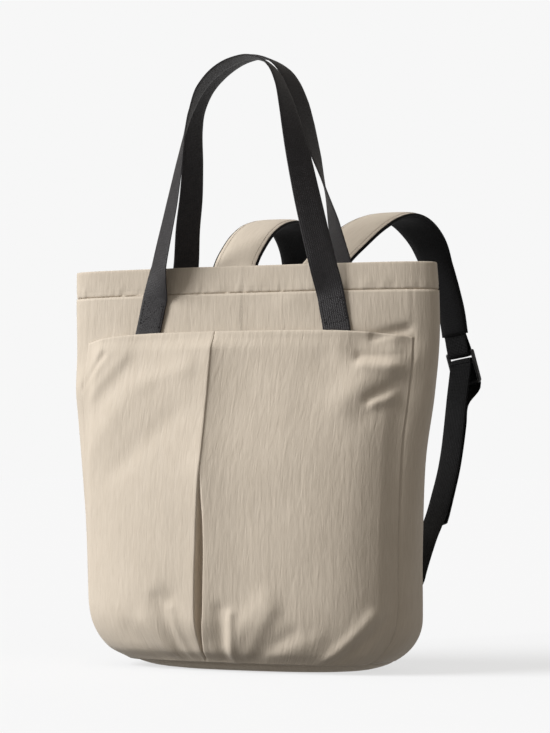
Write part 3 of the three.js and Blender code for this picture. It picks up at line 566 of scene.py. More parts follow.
def body_cloth():
    turn = (np.arange(BODY_TURNS) / BODY_TURNS)[None, :]
    z = np.linspace(BASE_RIM + GAP, SHELL_TOP, BODY_LEVELS)[:, None]
    turn, z = np.broadcast_arrays(turn, z)
    hidden = smooth_step(np.abs((turn + 0.5) % 1 - 0.5), 0.17, 0.215)
    hidden = np.maximum(hidden, smooth_step(z, POCKET_HEIGHT - 12, POCKET_HEIGHT + 2))
    seam_calm = smooth_step(z, BASE_RIM, 24) * (1 - smooth_step(z, SHELL_TOP - 8, SHELL_TOP) * 0.6)
    fine = fold_height(turn, z, FINE_FOLDS, FINE_DEPTH, 1) + crinkles(turn, z, BODY_SEED, CRINKLE)
    extra = fine * hidden * seam_calm
    side = np.abs(np.abs((turn + 0.5) % 1 - 0.5) - POCKET_TURN) * girth(z)
    seam = -0.25 * np.exp(-((side / 1.3) ** 2)) + 0.3 * np.exp(-(((side - 3.5) / 3.0) ** 2))
    outer = bag_point(turn, z, extra + seam)
    inner = bag_point(turn, z, np.minimum(extra, 0) - CLOTH)
    points, quads = shell(outer, inner, True)
    uvs = np.concatenate([cloth_uv(turn, z)] * 2)
    return mesh_piece("bag_body", points, quads, uvs, TAN,
                      ("body_front", "body_back", "body_side_right", "body_side_left"),
                      (LINING, len(turn.ravel()) - BODY_TURNS))


# The hem band round the mouth, folded over at its top.

BAND_TURNS = 420
BAND_RECESS = 0.5
BAND_THICKNESS = 2.4


def hem_band():
    turn = (np.arange(BAND_TURNS) / BAND_TURNS)[None, :]
    half = 14
    low = BAG_HEIGHT - BAND_HEIGHT
    rise = np.linspace(0, 1, half)
    bend = np.linspace(0, np.pi, 7)[1:-1]
    radius = BAND_THICKNESS / 2
    middle = -BAND_RECESS - radius
    heights = np.concatenate([
        low + (BAND_HEIGHT - radius) * rise,
        BAG_HEIGHT - radius + radius * np.sin(bend),
        low + (BAND_HEIGHT - radius) * rise[::-1],
    ])[:, None]
    outs = np.concatenate([
        np.full(half, middle + radius), middle + radius * np.cos(bend), np.full(half, middle - radius),
    ])[:, None]
    heights, outs, turn = np.broadcast_arrays(heights, outs, turn)
    place = np.stack([turn * NOMINAL_GIRTH, heights, outs * 0], -1)
    pucker = fractal(place, (7, 26, 10), 2, HEM_SEED) * np.exp(-((heights - low - 2) / 7.0) ** 2) * 0.9
    wave = fractal(place, (60, 90, 10), 2, WAVE_SEED) * 0.8
    lower = -0.9 * np.exp(-((heights - low) / 1.1) ** 2)
    stitched = -0.35 * np.exp(-((heights - low - 3.2) / 0.8) ** 2)
    facing = np.where(outs > middle, 1.0, -1.0)
    points = bag_point(turn, heights, outs + (pucker + lower + stitched) * facing + wave)
    count = heights.shape[0]
    quads = grid_quads(count, BAND_TURNS, 0, True)
    j = np.arange(BAND_TURNS)
    k = (j + 1) % BAND_TURNS
    end = (count - 1) * BAND_TURNS
    quads = np.concatenate([quads, np.stack([k, j, end + j, end + k], -1)])
    walked = np.concatenate([[0], np.cumsum(np.hypot(np.diff(heights[:, 0]), np.diff(outs[:, 0])))])
    uvs = np.stack([turn * NOMINAL_GIRTH * MM, np.broadcast_to((walked * MM)[:, None], turn.shape)], -1)
    return mesh_piece("hem_band", points.reshape(-1, 3), quads, uvs.reshape(-1, 2), TAN,
                      ("top_band",))


# The base tray.

def base_tray():
    turn = (np.arange(BODY_TURNS) / BODY_TURNS)[None, :]
    shares = np.linspace(0.02, 1, 16)[:, None]
    rims = (BASE_RIM * np.linspace(0, 1, 9)[1:] ** 1.7)[:, None]

    def grid(lift):
        t, s = np.broadcast_arrays(turn, shares)
        floor = lookup(SURFACE, t, np.zeros_like(t)) * s[..., None]
        floor[..., 2] = lift
        t, r = np.broadcast_arrays(turn, rims)
        edge = -0.7 * np.exp(-(((BASE_RIM - r) / 1.2) ** 2)) if lift == 0 else -CLOTH
        wall = bag_point(t, r, np.zeros_like(r) + edge)
        return np.concatenate([floor, wall])

    outer, inner = grid(0.0), grid(CLOTH)
    points, quads = shell(outer, inner, True)
    flat = np.concatenate([outer, inner]).reshape(-1, 3)
    return mesh_piece("base_tray", points, quads, flat[:, :2] * MM, TAN, ("base_panel",))


# The pleated front layer. Its two panels meet at the pleat in folded edges with a groove between.

POCKET_CLOTH = 1.8
POCKET_STAND = 1.9
LEFT_COLUMNS, RIGHT_COLUMNS, ROLL_COLUMNS = 92, 112, 9
POCKET_ROWS = 176
RIDGE_HEIGHT, RIDGE_LEFT, RIDGE_RIGHT = 14.0, 84.0, 74.0
CREST, CREST_LEFT, CREST_RIGHT = 3.6, 40.0, 22.0
DIP, DIP_REACH = 1.5, 45.0
EDGE_BACK, EDGE_SWING = 1.5, 1.2
GROOVE_SHUT, GROOVE_OPEN = 0.2, 4.6
EDGE_ROLL = 2.4
LEFT_DROP, RIGHT_DROP, OPEN_DROP = 0.9, 1.2, 9.0
END_WIDTH, FOOT_HEIGHT = 22, 12


def pleat_open(z):
    """How far the pleat has opened: shut in its upper half, widest low down and shut at the base."""
    level = z / POCKET_HEIGHT
    return smooth_step(level, 0.02, 0.20) * (1 - smooth_step(level, 0.30, 0.66))


def front_layer():
    columns = LEFT_COLUMNS + 2 * ROLL_COLUMNS + RIGHT_COLUMNS
    rise = np.linspace(0, 1, POCKET_ROWS)[:, None] ** 1.05
    column = np.arange(columns)[None, :]
    left = np.clip(column / (LEFT_COLUMNS - 1), 0, 1)
    right = np.clip((column - LEFT_COLUMNS - 2 * ROLL_COLUMNS) / (RIGHT_COLUMNS - 1), 0, 1)
    rough = -POCKET_TURN * (1 - left) + POCKET_TURN * right
    z = BASE_RIM + GAP + (POCKET_HEIGHT - POCKET_DIP * (np.abs(rough) / POCKET_TURN) ** 4
                          - BASE_RIM - GAP) * rise
    level = z / POCKET_HEIGHT
    opened = pleat_open(z)
    around = girth(z)
    edge = front_turn(PLEAT_PLACE - EDGE_BACK - EDGE_SWING * opened, z)
    groove = (GROOVE_SHUT + GROOVE_OPEN * opened) / around
    roll = EDGE_ROLL / around
    left_roll = np.clip((column - LEFT_COLUMNS + 1) / ROLL_COLUMNS, 0, 1)
    right_roll = np.clip((column - LEFT_COLUMNS - ROLL_COLUMNS) / ROLL_COLUMNS, 0, 1)
    middle = smooth_step(column, LEFT_COLUMNS + ROLL_COLUMNS - 2.0, LEFT_COLUMNS + ROLL_COLUMNS + 1.0)
    turn = (-POCKET_TURN + (edge - roll + POCKET_TURN) * left + roll * np.sin(left_roll * np.pi / 2)
            + groove * middle + roll * (1 - np.cos(right_roll * np.pi / 2))
            + (POCKET_TURN - edge - groove - roll) * right)
    away = (turn - edge) * around
    is_left = column < LEFT_COLUMNS + ROLL_COLUMNS
    low = smooth_step(level, 0, 0.16)
    ridge = RIDGE_HEIGHT * low * (1 - 0.55 * smooth_step(level, 0.55, 0.90))
    ridge *= 1 - 0.7 * smooth_step(level, 0.94, 1)
    reach = np.where(is_left, RIDGE_LEFT, RIDGE_RIGHT)
    lift = ridge * np.exp(-np.abs(away) / reach)
    shut = smooth_step(level, 0.36, 0.60) * (1 - smooth_step(level, 0.94, 1))
    lift += np.where(is_left, 0, -DIP * shut * np.exp(-np.maximum(away, 0) / DIP_REACH))
    lift += CREST * shut * np.exp(-np.abs(away) / np.where(is_left, CREST_LEFT, CREST_RIGHT))
    down = np.where(is_left, (LEFT_DROP + OPEN_DROP * opened) * (1 - np.cos(left_roll * np.pi / 2)),
                    (RIGHT_DROP + OPEN_DROP * opened) * (1 - np.sin(right_roll * np.pi / 2)) * (1 - shut))
    ends = smooth_step(POCKET_TURN * NOMINAL_GIRTH - np.abs(turn) * NOMINAL_GIRTH, 0, END_WIDTH)
    foot = smooth_step(z, BASE_RIM, BASE_RIM + FOOT_HEIGHT)
    crown = smooth_step(POCKET_HEIGHT - z, -4, 6)
    fine = fold_height(turn, z, FINE_FOLDS, FINE_DEPTH, 1) + crinkles(turn, z, LAYER_SEED, CRINKLE)
    fine *= (0.15 + 0.85 * foot) * (0.35 + 0.65 * crown)
    top_roll = 0.5 * np.exp(-(((POCKET_HEIGHT - z - 3.0) / 3.0) ** 2))
    out = POCKET_STAND * (0.15 + 0.85 * foot * ends) + lift * foot + fine + top_roll
    floor = GAP + 0.1
    outer_out = np.maximum(out + POCKET_CLOTH - down, floor + POCKET_CLOTH)
    inner_out = np.maximum(out - down, floor)
    outer = bag_point(turn, z, outer_out * (0.2 + 0.8 * ends))
    inner = bag_point(turn, z, inner_out * (0.2 + 0.8 * ends) * 0.98)
    points, quads = shell(outer, inner, False)
    uvs = np.concatenate([cloth_uv(turn, z)] * 2)
    return mesh_piece("front_layer", points, quads, uvs, TAN, ("front_pocket",))


# Stitches.

STITCH_LENGTH, STITCH_PITCH, STITCH_RADIUS = 2.5, 3.2, 0.24
STITCH_RINGS, STITCH_SIDES = 5, 6


def stitches(name, rows, material):
    """Short threads along rows of places and normals, each sunk at its ends and proud in its middle."""
    ring = np.linspace(0, 2 * np.pi, STITCH_SIDES, endpoint=False)
    spans = np.linspace(-1, 1, STITCH_RINGS)
    thin = np.array([0.35, 0.9, 1.0, 0.9, 0.35])
    points, quads, uvs = [], [], []
    for places, normals in rows:
        walked = walk(places)
        middles = np.arange(STITCH_PITCH / 2, walked[-1], STITCH_PITCH)
        centre, ahead, normal = (
            np.stack([np.interp(middles + shift, walked, values[:, k]) for k in range(3)], -1)
            for values, shift in ((places, 0), (places, 0.4), (normals, 0)))
        before = np.stack([np.interp(middles - 0.4, walked, places[:, k]) for k in range(3)], -1)
        tangent = unit(ahead - before)
        side = unit(np.cross(tangent, normal))
        normal = unit(np.cross(side, tangent))
        for c, t, s, n in zip(centre, tangent, side, normal):
            base = len(points) * STITCH_RINGS * STITCH_SIDES
            proud = STITCH_RADIUS * (0.55 - 0.95 * spans ** 2)
            rings = (c + t * (spans[:, None, None] * STITCH_LENGTH / 2)
                     + s * (np.cos(ring)[None, :, None] * STITCH_RADIUS * thin[:, None, None])
                     + n * ((np.sin(ring)[None, :] * STITCH_RADIUS * thin[:, None]
                             + proud[:, None])[..., None]))
            points.append(rings.reshape(-1, 3))
            quads.append(grid_quads(STITCH_RINGS, STITCH_SIDES, base, True))
            uvs.append(np.stack(np.broadcast_arrays(
                ring[None, :] * STITCH_RADIUS, spans[:, None] * STITCH_LENGTH), -1))
    uvs = np.concatenate([u.reshape(-1, 2) for u in uvs]) * MM
    return mesh_piece(name, np.concatenate(points), np.concatenate(quads), uvs, material)


# Ribbons and straps. BAND_EDGE is the share of a band's thickness that its edges keep.

BAND_EDGE = 0.35


def catmull(knots, shares):
    """THREE's centripetal Catmull-Rom curve through knots."""
    knots = np.asarray(knots, dtype=float)
    last = len(knots) - 1
    first_extra, last_extra = 2 * knots[0] - knots[1], 2 * knots[-1] - knots[-2]
    result = []
    for share in shares:
        position = share * last
        i = min(int(position), last - 1)
        t = position - i
        p = [knots[i - 1] if i > 0 else first_extra, knots[i], knots[i + 1],
             knots[i + 2] if i + 2 <= last else last_extra]
        dt = [max(float(np.sum((p[k + 1] - p[k]) ** 2)) ** 0.25, 1e-4) for k in range(3)]
        m1 = (p[1] - p[0]) / dt[0] - (p[2] - p[0]) / (dt[0] + dt[1]) + (p[2] - p[1]) / dt[1]
        m2 = (p[2] - p[1]) / dt[1] - (p[3] - p[1]) / (dt[1] + dt[2]) + (p[3] - p[2]) / dt[2]
        m1, m2 = m1 * dt[1], m2 * dt[1]
        result.append(p[1] + m1 * t + (-3 * p[1] + 3 * p[2] - 2 * m1 - m2) * t * t
                      + (2 * p[1] - 2 * p[2] + m1 + m2) * t ** 3)
    return np.array(result)


def blend_rows(rows, positions):
    rows = np.asarray(rows, dtype=float)
    i = np.minimum(np.asarray(positions).astype(int), len(rows) - 2)
    t = (np.asarray(positions) - i)[:, None]
    return rows[i] * (1 - t) + rows[i + 1] * t


def unit(vectors):
    return vectors / np.linalg.norm(vectors, axis=-1, keepdims=True)


def tangents(places):
    ahead = np.concatenate([places[1:], places[-1:]])
    behind = np.concatenate([places[:1], places[:-1]])
    return unit(ahead - behind)


def stations_by_hint(places, hints):
    """Across and face directions squared up to a route, from hints of the across direction."""
    tangent = tangents(places)
    across = unit(hints - tangent * np.sum(hints * tangent, -1, keepdims=True))
    return across, unit(np.cross(across, tangent))


def swept(name, places, across, face, profile, material, replaced=(), scale=None):
    """A body swept along stations. The profile is a closed outline of across and face distances."""
    profile = np.asarray(profile, dtype=float)
    count = len(profile)
    size = np.ones((len(places), 2)) if scale is None else scale
    rings = (places[:, None] + across[:, None] * (profile[None, :, :1] * size[:, None, :1])
             + face[:, None] * (profile[None, :, 1:] * size[:, None, 1:]))
    points = rings.reshape(-1, 3)
    quads = grid_quads(len(places), count, 0, True).tolist()
    half = count // 2
    for base, flip in ((0, False), ((len(places) - 1) * count, True)):
        for k in range(half - 1):
            cap = [base + k, base + k + 1, base + count - 2 - k, base + count - 1 - k]
            quads.append(cap[::-1] if not flip else cap)
    walked = walk(places)
    uvs = np.stack(np.broadcast_arrays(profile[None, :, 0] * MM, walked[:, None] * MM), -1)
    return mesh_piece(name, points, quads, uvs.reshape(-1, 2), material, replaced)


def band_profile(width, thickness, steps):
    """A flat band's outline with softly rounded edges, an even number of points."""
    w = np.linspace(-1, 1, steps)
    body = np.sign(w) * (1 - (1 - np.abs(w)) ** 1.5)
    shape = thickness / 2 * (BAND_EDGE + (1 - BAND_EDGE) * (1 - np.abs(body) ** 6))
    top = np.stack([body * width / 2, shape], -1)
    low = np.stack([body[::-1] * width / 2, -shape[::-1]], -1)
    return np.concatenate([top, low])[::-1]


HANDLE_WIDTH, HANDLE_THICKNESS = 25, 2.2
HANDLE_SPREAD, HANDLE_STANDOFF = 181, 34
HANDLE_FOOT, HANDLE_EASE = 3.6, 1.2
HANDLE_TUCK = 7
HANDLE_STATIONS = 261
STITCH_START, STITCH_BOX, STITCH_SIDE = 3.5, 22, 2.5

# The legs of each handle above the mouth: rise, spread, lean, stand-off, the degrees its face has
# turned outward, and the degrees that both legs have turned the same way round.
HANDLES = {
    "front": (191, [
        (0.00, 0.872, 0.000, 1.00, 32, -5), (0.30, 0.727, -0.010, 0.98, 40, -5),
        (0.50, 0.640, -0.022, 0.93, 51, -4), (0.64, 0.578, -0.032, 0.89, 64, -3),
        (0.75, 0.517, -0.030, 0.85, 74, -2), (0.85, 0.440, -0.020, 0.81, 84, -1),
        (0.93, 0.325, 0.010, 0.78, 88, 0), (0.98, 0.176, 0.040, 0.75, 90, 0),
        (1.00, 0.000, 0.055, 0.74, 90, 0),
    ]),
    "rear": (201, [
        (0.00, 0.868, -0.015, 1.00, 35, -3), (0.21, 0.800, -0.050, 0.97, 48, 2),
        (0.36, 0.740, -0.070, 0.94, 62, 10), (0.52, 0.680, -0.110, 0.92, 77, 17),
        (0.67, 0.625, -0.150, 0.89, 88, 18), (0.77, 0.570, -0.162, 0.87, 93, 17),
        (0.86, 0.475, -0.147, 0.85, 95, 13), (0.93, 0.345, -0.110, 0.83, 93, 7),
        (0.98, 0.180, -0.085, 0.82, 90, 2), (1.00, 0.000, -0.075, 0.81, 90, 0),
    ]),
}


def handle_stations(side):
    facing = 1 if side == "front" else -1
    height, legs = HANDLES[side]
    half = HANDLE_SPREAD / 2
    foot = POCKET_HEIGHT + HANDLE_FOOT
    last_sewn = SHELL_TOP - HANDLE_THICKNESS
    out = SEAT + HANDLE_THICKNESS / 2
    tucked = foot - (HANDLE_TUCK if side == "front" else 0)
    levels = np.linspace(tucked, last_sewn, 4)
    share = 1 + (levels - foot) / (BAG_HEIGHT - foot) * (legs[0][1] - 1)
    ease = HANDLE_EASE * smooth_step(levels, foot, last_sewn)

    def leg(hand):
        turn = front_turn(hand * half * share, levels)
        places = list(bag_point(turn, levels, out + ease))
        faces = list(lookup(NORMALS, turn, levels))
        for rise, spread, lean, stand, turned, swing in legs:
            angle = math.radians(hand * turned + swing)
            places.append(np.array((
                half * (lean + hand * spread), -HANDLE_STANDOFF * stand, BAG_HEIGHT + height * rise)))
            faces.append(np.array((math.sin(angle), -math.cos(angle), 0.0)))
        return places, faces

    right_places, right_faces = leg(1)
    left_places, left_faces = leg(-1)
    places = right_places + left_places[-2::-1]
    faces = right_faces + left_faces[-2::-1]
    shares = np.linspace(0, 1, HANDLE_STATIONS)
    toward = np.array((1.0, facing, 1.0))
    route = catmull(places, shares) * toward
    face = blend_rows(faces, shares * (len(faces) - 1)) * toward
    tangent = tangents(route)
    wanted = face + np.outer(np.abs(tangent[:, 0]) ** 3, (0, 0, 1))
    square = unit(wanted - tangent * np.sum(wanted * tangent, -1, keepdims=True))
    return route, np.cross(tangent, square), square


def box_stitches(places, across, face, width, low, high, lift):
    """Rows of a stitched box with a cross, on a band between two distances along it."""
    walked = walk(places)
    corners = [(-width / 2, low), (width / 2, low), (width / 2, high), (-width / 2, high), (-width / 2, low),
               (width / 2, high), (width / 2, low), (-width / 2, high)]
    rows = []
    for (w0, s0), (w1, s1) in zip(corners, corners[1:]):
        if (w0, s0) == (width / 2, high) and (w1, s1) == (width / 2, low):
            continue
        step = np.linspace(0, 1, 24)
        w, s = w0 + (w1 - w0) * step, s0 + (s1 - s0) * step

        def at(values):
            return np.stack([np.interp(s, walked, values[:, k]) for k in range(3)], -1)

        normal = unit(at(face))
        rows.append((at(places) + unit(at(across)) * w[:, None] + normal * lift, normal))
    return rows


def handle(side):
    places, across, face = handle_stations(side)
    profile = band_profile(HANDLE_WIDTH, HANDLE_THICKNESS * 0.9, 14)
    swept(f"handle_band_{side}", places, across, face, profile, WEBBING,
          (f"handle_{side}",))
    lift = HANDLE_THICKNESS * 0.45
    low = STITCH_START + (HANDLE_TUCK if side == "front" else 0)
    box = (HANDLE_WIDTH - 2 * STITCH_SIDE, low, low + STITCH_BOX, lift)
    rows = box_stitches(places, across, face, *box)
    rows += box_stitches(places[::-1], across[::-1], face[::-1], *box)
    stitches(f"handle_stitches_{side}", rows, BLACK_THREAD)


STRAP_WIDTH, STRAP_COVER, STRAP_MESH = 44, 3.4, 5
STRAP_END_WIDTH = 29
STRAP_PLACE, STRAP_ROOT = 36, 313
STRAP_REACH, STRAP_CREST = 250, 62
STRAP_EASE = 3
STRAP_STATIONS = 170
PAD_STEPS, PAD_LEAST, PAD_TRIM = 17, 0.3, 1.2
BINDING_INSET, SEAM_INSET = 1.0, 4.8

# Routes of the shoulder straps: out, back, up and the degrees their width has turned.
STRAP_ROUTES = {
    "right": [
        (0.300, 0.22, 0.10, 0), (0.378, 0.32, 0.47, 0), (0.436, 0.42, 0.74, 0),
        (0.482, 0.53, 0.92, -2), (0.520, 0.65, 1.00, -5), (0.560, 0.77, 0.93, -9),
        (0.603, 0.87, 0.69, -13), (0.628, 0.95, 0.34, -18), (0.672, 0.99, -0.13, -20),
        (0.700, 1.00, -0.45, -18), (0.720, 1.00, -0.81, -16),
    ],
    "left": [
        (-0.208, 0.21, 0.10, 0), (-0.204, 0.31, 0.46, 0), (-0.197, 0.41, 0.71, 0),
        (-0.185, 0.53, 0.89, 2), (-0.170, 0.65, 0.96, 5), (-0.160, 0.77, 0.90, 9),
        (-0.164, 0.87, 0.67, 13), (-0.190, 0.95, 0.33, 16), (-0.238, 0.99, -0.12, 18),
        (-0.285, 1.00, -0.44, 17), (-0.330, 1.00, -0.80, 16),
    ],
}


def strap_stations(side):
    hand = 1 if side == "right" else -1
    levels = np.array([STRAP_ROOT, STRAP_ROOT + STRAP_WIDTH / 2])
    turn = 0.5 - hand * STRAP_PLACE / girth(levels)
    lifts = SEAT + GAP / 2 + STRAP_COVER + np.arange(2) * STRAP_EASE
    places = list(bag_point(turn, levels, lifts))
    normals = lookup(NORMALS, turn, levels)
    hints = [np.array((n[1], -n[0], 0.0)) for n in normals]
    for out, back, up, turned in STRAP_ROUTES[side]:
        places.append(np.array((
            TOP_WIDTH / 2 * out, STRAP_REACH * back, BAG_HEIGHT + STRAP_CREST * up)))
        angle = math.radians(turned)
        hints.append(np.array((math.cos(angle), math.sin(angle), 0.0)))
    shares = np.linspace(0, 1, STRAP_STATIONS)
    route = catmull(places, shares)
    across, face = stations_by_hint(route, blend_rows(hints, shares * (len(hints) - 1)))
    return route, across, face


def pad_profile(width, thickness, sign):
    """One side of a pad: full in the middle, pulled in at a stitched line near each edge."""
    w = np.linspace(-1, 1, PAD_STEPS)
    body = np.sign(w) * (1 - (1 - np.abs(w)) ** 1.4)
    place = body * width / 2
    bulge = (1 - np.abs(body) ** 3.0) ** 0.6
    channel = 0.8 * np.exp(-(((np.abs(place) - width / 2 + 4.2) / 1.0) ** 2))
    least = GAP / 2 + PAD_LEAST
    height = np.maximum(least + (thickness - PAD_LEAST) * (0.22 + 0.78 * bulge) - channel, least)
    top = np.stack([place, sign * height], -1)
    flat = np.stack([place[::-1], np.full(PAD_STEPS, sign * GAP / 2)], -1)
    return np.concatenate([top, flat])[::-sign]


def shoulder_strap(side):
    places, across, face = strap_stations(side)
    width = STRAP_WIDTH + (STRAP_END_WIDTH - STRAP_WIDTH) * smooth_step(
        np.linspace(0, 1, STRAP_STATIONS), 0.55, 1)
    scale = np.stack([(width - PAD_TRIM) / (STRAP_WIDTH - PAD_TRIM), np.ones(STRAP_STATIONS)], -1)
    scale[-3:, 1] *= (0.96, 0.86, 0.62)
    pad = swept(f"strap_pad_{side}", places, across, face,
                pad_profile(STRAP_WIDTH - PAD_TRIM, STRAP_COVER, 1),
                TAN_SMOOTH, (f"strap_cover_{side}",), scale)
    lining = swept(f"strap_lining_{side}", places, across, face,
                   pad_profile(STRAP_WIDTH - PAD_TRIM, STRAP_MESH, -1),
                   MESH, (f"strap_mesh_{side}",), scale)
    angle = np.linspace(0, 2 * np.pi, 11)[:-1]
    ring = np.stack([1.5 * np.cos(angle), 1.7 * np.sin(angle)], -1)
    rows = []
    for hand, label in ((-1, "inner"), (1, "outer")):
        edge = places + across * (hand * (width[:, None] / 2 - BINDING_INSET))
        swept(f"strap_binding_{label}_{side}", edge, across, face, ring, DARK_WEBBING)
        inset = places + across * (hand * (width[:, None] / 2 - SEAM_INSET))
        rows.append((inset + face * (STRAP_COVER * 0.72 + GAP / 2), face))
    stitches(f"strap_stitches_{side}", rows, THREAD)
    return places, across, face


# The adjusters: a webbing tab, a ladder-lock buckle and the adjusting webbing with its loose tail.

WEBBING_WIDTH, WEBBING_THICKNESS = 24.5, 1.6
ANCHOR_HEIGHT, ANCHOR_PLACE, ANCHOR_SEAT = 53, 0.318, 0.95
WEBBING_DROP, WEBBING_BACK, WEBBING_IN = 64, 19, 7
TAIL_SHARE, TAIL_DROOP = 0.6, 6
TAIL_KNOTS, MAIN_KNOTS = 10, 15
HEM_LENGTH, HEM_EXTRA = 17, 0.85
BUCKLE_RAIL, BUCKLE_BAR, BAR_THICKNESS = 3.2, 3.4, 3.6
BUCKLE_HEIGHT, BUCKLE_THICKNESS, BUCKLE_PLAY = 34, 4, 0.5
BUCKLE_DROP, BUCKLE_TILT = 19, 13
LOOP_CLEAR = 1.5
BEND_RADIUS = 3.9
BAR_SPACING = 2 * BEND_RADIUS + WEBBING_THICKNESS + 2 * SEAT
MIDDLE_BAR = BUCKLE_DROP + BAR_SPACING

# Route of the adjusting webbing from the bag to the buckle: share of the way across, share of the
# strap's reach and share of the bag's height.
WEBBING_ROUTE = [
    (0.20, 0.29, 0.253), (0.38, 0.43, 0.313), (0.53, 0.59, 0.371),
    (0.65, 0.71, 0.433), (0.78, 0.82, 0.497), (0.90, 0.90, 0.563),
]


class StrapEnd:
    """The frame at a strap's padded end, where its buckle hangs tilted outward."""

    def __init__(self, stations):
        places, across, _ = stations
        step = -(len(places) // 26) - 1
        straight = unit(places[-1] - places[step])
        self.place, self.across = places[-1], across[-1]
        outward = unit(np.cross(self.across, straight))
        tilt = math.radians(BUCKLE_TILT)
        self.down = straight * math.cos(tilt) + outward * math.sin(tilt)
        self.face = unit(np.cross(self.across, self.down))

    def at(self, down, out, across=0.0):
        return self.place + self.down * down + self.face * out + self.across * across


def bend_places(end, middle, sign):
    angles = np.radians(np.linspace(-90, 90, 15))
    return [end.at(middle + sign * BEND_RADIUS * math.cos(a), BEND_RADIUS * math.sin(a)) for a in angles]


def strap_loop(side, end):
    start = WEBBING_THICKNESS / 2 + GAP
    slant = (start + BEND_RADIUS) / 2
    knots = [end.at(-9, -start - 0.5), end.at(LOOP_CLEAR, -start), end.at(BUCKLE_DROP / 2, -slant)]
    knots += bend_places(end, BUCKLE_DROP, 1)
    knots += [end.at(BUCKLE_DROP / 2, slant), end.at(LOOP_CLEAR, start), end.at(-9, start - 0.4)]
    places = catmull(knots, np.linspace(0, 1, 60))
    across, face = stations_by_hint(places, np.repeat(end.across[None], len(places), 0))
    profile = band_profile(WEBBING_WIDTH - 0.4, WEBBING_THICKNESS, 12)
    swept(f"strap_tab_{side}", places, across, face, profile, DARK_WEBBING,
          (f"strap_loop_{side}",))


def rounded_bar(name, start, stop, width_way, width, thickness, replaced=()):
    """A straight bar of moulded plastic with rounded edges and ends."""
    steps = np.array([0, 0.012, 0.04, 0.08, 0.5, 0.92, 0.96, 0.988, 1])
    places = start + (stop - start) * steps[:, None]
    along_way = unit(stop - start)
    face = unit(np.cross(width_way, along_way))
    angle = np.linspace(0, 2 * np.pi, 21)[:-1]
    round_x = np.sign(np.cos(angle)) * np.abs(np.cos(angle)) ** 0.55
    round_y = np.sign(np.sin(angle)) * np.abs(np.sin(angle)) ** 0.55
    profile = np.stack([round_x * width / 2, round_y * thickness / 2], -1)
    ends = np.array([0.62, 0.82, 0.95, 1, 1, 1, 0.95, 0.82, 0.62])
    count = len(steps)
    swept(name, places, np.repeat(width_way[None], count, 0), np.repeat(face[None], count, 0), profile,
          PLASTIC, replaced, np.stack([ends, ends], -1))


def buckle(side, end):
    half = WEBBING_WIDTH / 2 + BUCKLE_PLAY + BUCKLE_RAIL / 2
    top = BUCKLE_DROP - BUCKLE_BAR / 2
    for hand, label in ((-1, "left"), (1, "right")):
        replaced = (f"buckle_{side}",) if hand > 0 else ()
        rounded_bar(f"buckle_rail_{label}_{side}", end.at(top, 0, hand * half),
                    end.at(top + BUCKLE_HEIGHT - 1.2, 0, hand * half), end.across, BUCKLE_RAIL,
                    BUCKLE_THICKNESS, replaced)
    bars = (("top", BUCKLE_DROP + 0.7, BUCKLE_BAR + 1.6, BAR_THICKNESS),
            ("middle", MIDDLE_BAR, BUCKLE_BAR, BAR_THICKNESS),
            ("foot", top + BUCKLE_HEIGHT - BUCKLE_BAR / 2, BUCKLE_BAR + 0.4, 3.2))
    for label, place, width, thickness in bars:
        rounded_bar(f"buckle_bar_{label}_{side}", end.at(place, 0, -half), end.at(place, 0, half),
                    end.down, width, thickness)


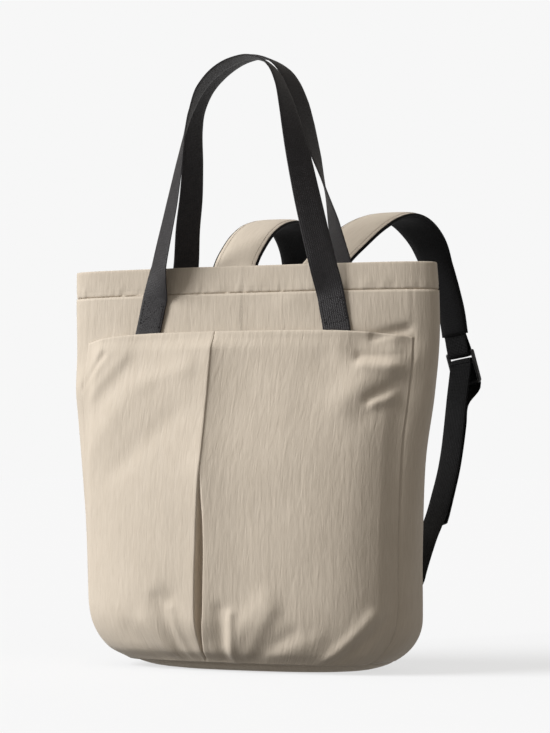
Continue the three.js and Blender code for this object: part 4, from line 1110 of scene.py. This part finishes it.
def strap_webbing(side, end):
    hand = 1 if side == "right" else -1
    lift = ANCHOR_SEAT + WEBBING_THICKNESS / 2

    def anchor(z):
        return bag_point(np.array(hand * ANCHOR_PLACE), np.array(float(z)), np.array(lift))

    clear = BUCKLE_THICKNESS / 2 + WEBBING_THICKNESS / 2 + SEAT
    below = MIDDLE_BAR + BUCKLE_HEIGHT - BAR_SPACING + WEBBING_THICKNESS
    top = end.at(WEBBING_DROP, -WEBBING_BACK, -hand * WEBBING_IN)
    foot = anchor(ANCHOR_HEIGHT + WEBBING_WIDTH / 2)
    between = [np.array((foot[0] + (top[0] - foot[0]) * share, STRAP_REACH * back, BAG_HEIGHT * up))
               for share, back, up in WEBBING_ROUTE]
    main_knots = [foot, *between, top]
    main = catmull(main_knots, np.linspace(0, 1, MAIN_KNOTS))
    bend = bend_places(end, MIDDLE_BAR, -1)
    outer = end.at(below, clear + SEAT)
    shares = np.linspace(0.02, TAIL_SHARE, TAIL_KNOTS)
    beside = catmull(main_knots, 1 - shares)
    way = shares / TAIL_SHARE
    apart = clear + lift + (lift + GAP - clear) * smooth_step(way, 0, 0.4)
    tail = beside + end.face * apart[:, None] - np.outer(TAIL_DROOP * way ** 2, (0, 0, 1))
    knots = [anchor(ANCHOR_HEIGHT - WEBBING_WIDTH / 2), *main, *bend, outer, *tail]
    normal = lookup(NORMALS, np.array(hand * ANCHOR_PLACE), np.array(float(ANCHOR_HEIGHT)))
    bag_across = -np.cross((0, 0, 1), normal)
    main_count = len(main) + 1
    hints = []
    for i in range(len(knots)):
        share = smooth_step(i / (main_count - 1), 0.06, 0.45)
        hints.append(bag_across * (1 - share) + end.across * share)
    steps = np.linspace(0, 1, 240)
    places = catmull(knots, steps)
    across, face = stations_by_hint(places, blend_rows(hints, steps * (len(hints) - 1)))
    scale = np.ones((len(places), 2))
    walked = walk(places)
    hem_start = walked[-1] - HEM_LENGTH
    scale[:, 1] += HEM_EXTRA * smooth_step(walked, hem_start, hem_start + 2)
    profile = band_profile(WEBBING_WIDTH - 0.3, WEBBING_THICKNESS, 12)
    swept(f"adjusting_webbing_{side}", places, across, face, profile, DARK_WEBBING,
          (f"strap_webbing_{side}",), scale)
    thread = WEBBING_THICKNESS * 0.5
    rows = box_stitches(places, across, face, WEBBING_WIDTH - 6, 3, 21, thread)
    rows += box_stitches(places[::-1], across[::-1], face[::-1], WEBBING_WIDTH - 6, 2, 12, thread * 1.85)
    stitches(f"webbing_stitches_{side}", rows, BLACK_THREAD)


body_cloth()
hem_band()
base_tray()
front_layer()
handle("front")
handle("rear")
for strap_side in ("right", "left"):
    strap_end = StrapEnd(shoulder_strap(strap_side))
    strap_loop(strap_side, strap_end)
    buckle(strap_side, strap_end)
    strap_webbing(strap_side, strap_end)

# The floor.
floor_mesh = bpy.data.meshes.new("floor")
floor_turns = [math.tau * k / FLOOR_SIDES for k in range(FLOOR_SIDES)]
floor_ring = [(FLOOR_RADIUS * math.cos(turn), FLOOR_RADIUS * math.sin(turn), -FLOOR_DROP)
              for turn in floor_turns]
floor_mesh.from_pydata(floor_ring, [], [list(range(FLOOR_SIDES))])
floor_mesh.materials.append(studio_floor("studio_floor"))
floor = bpy.data.objects.new("floor", floor_mesh)
bpy.context.collection.objects.link(floor)
floor.visible_diffuse = False
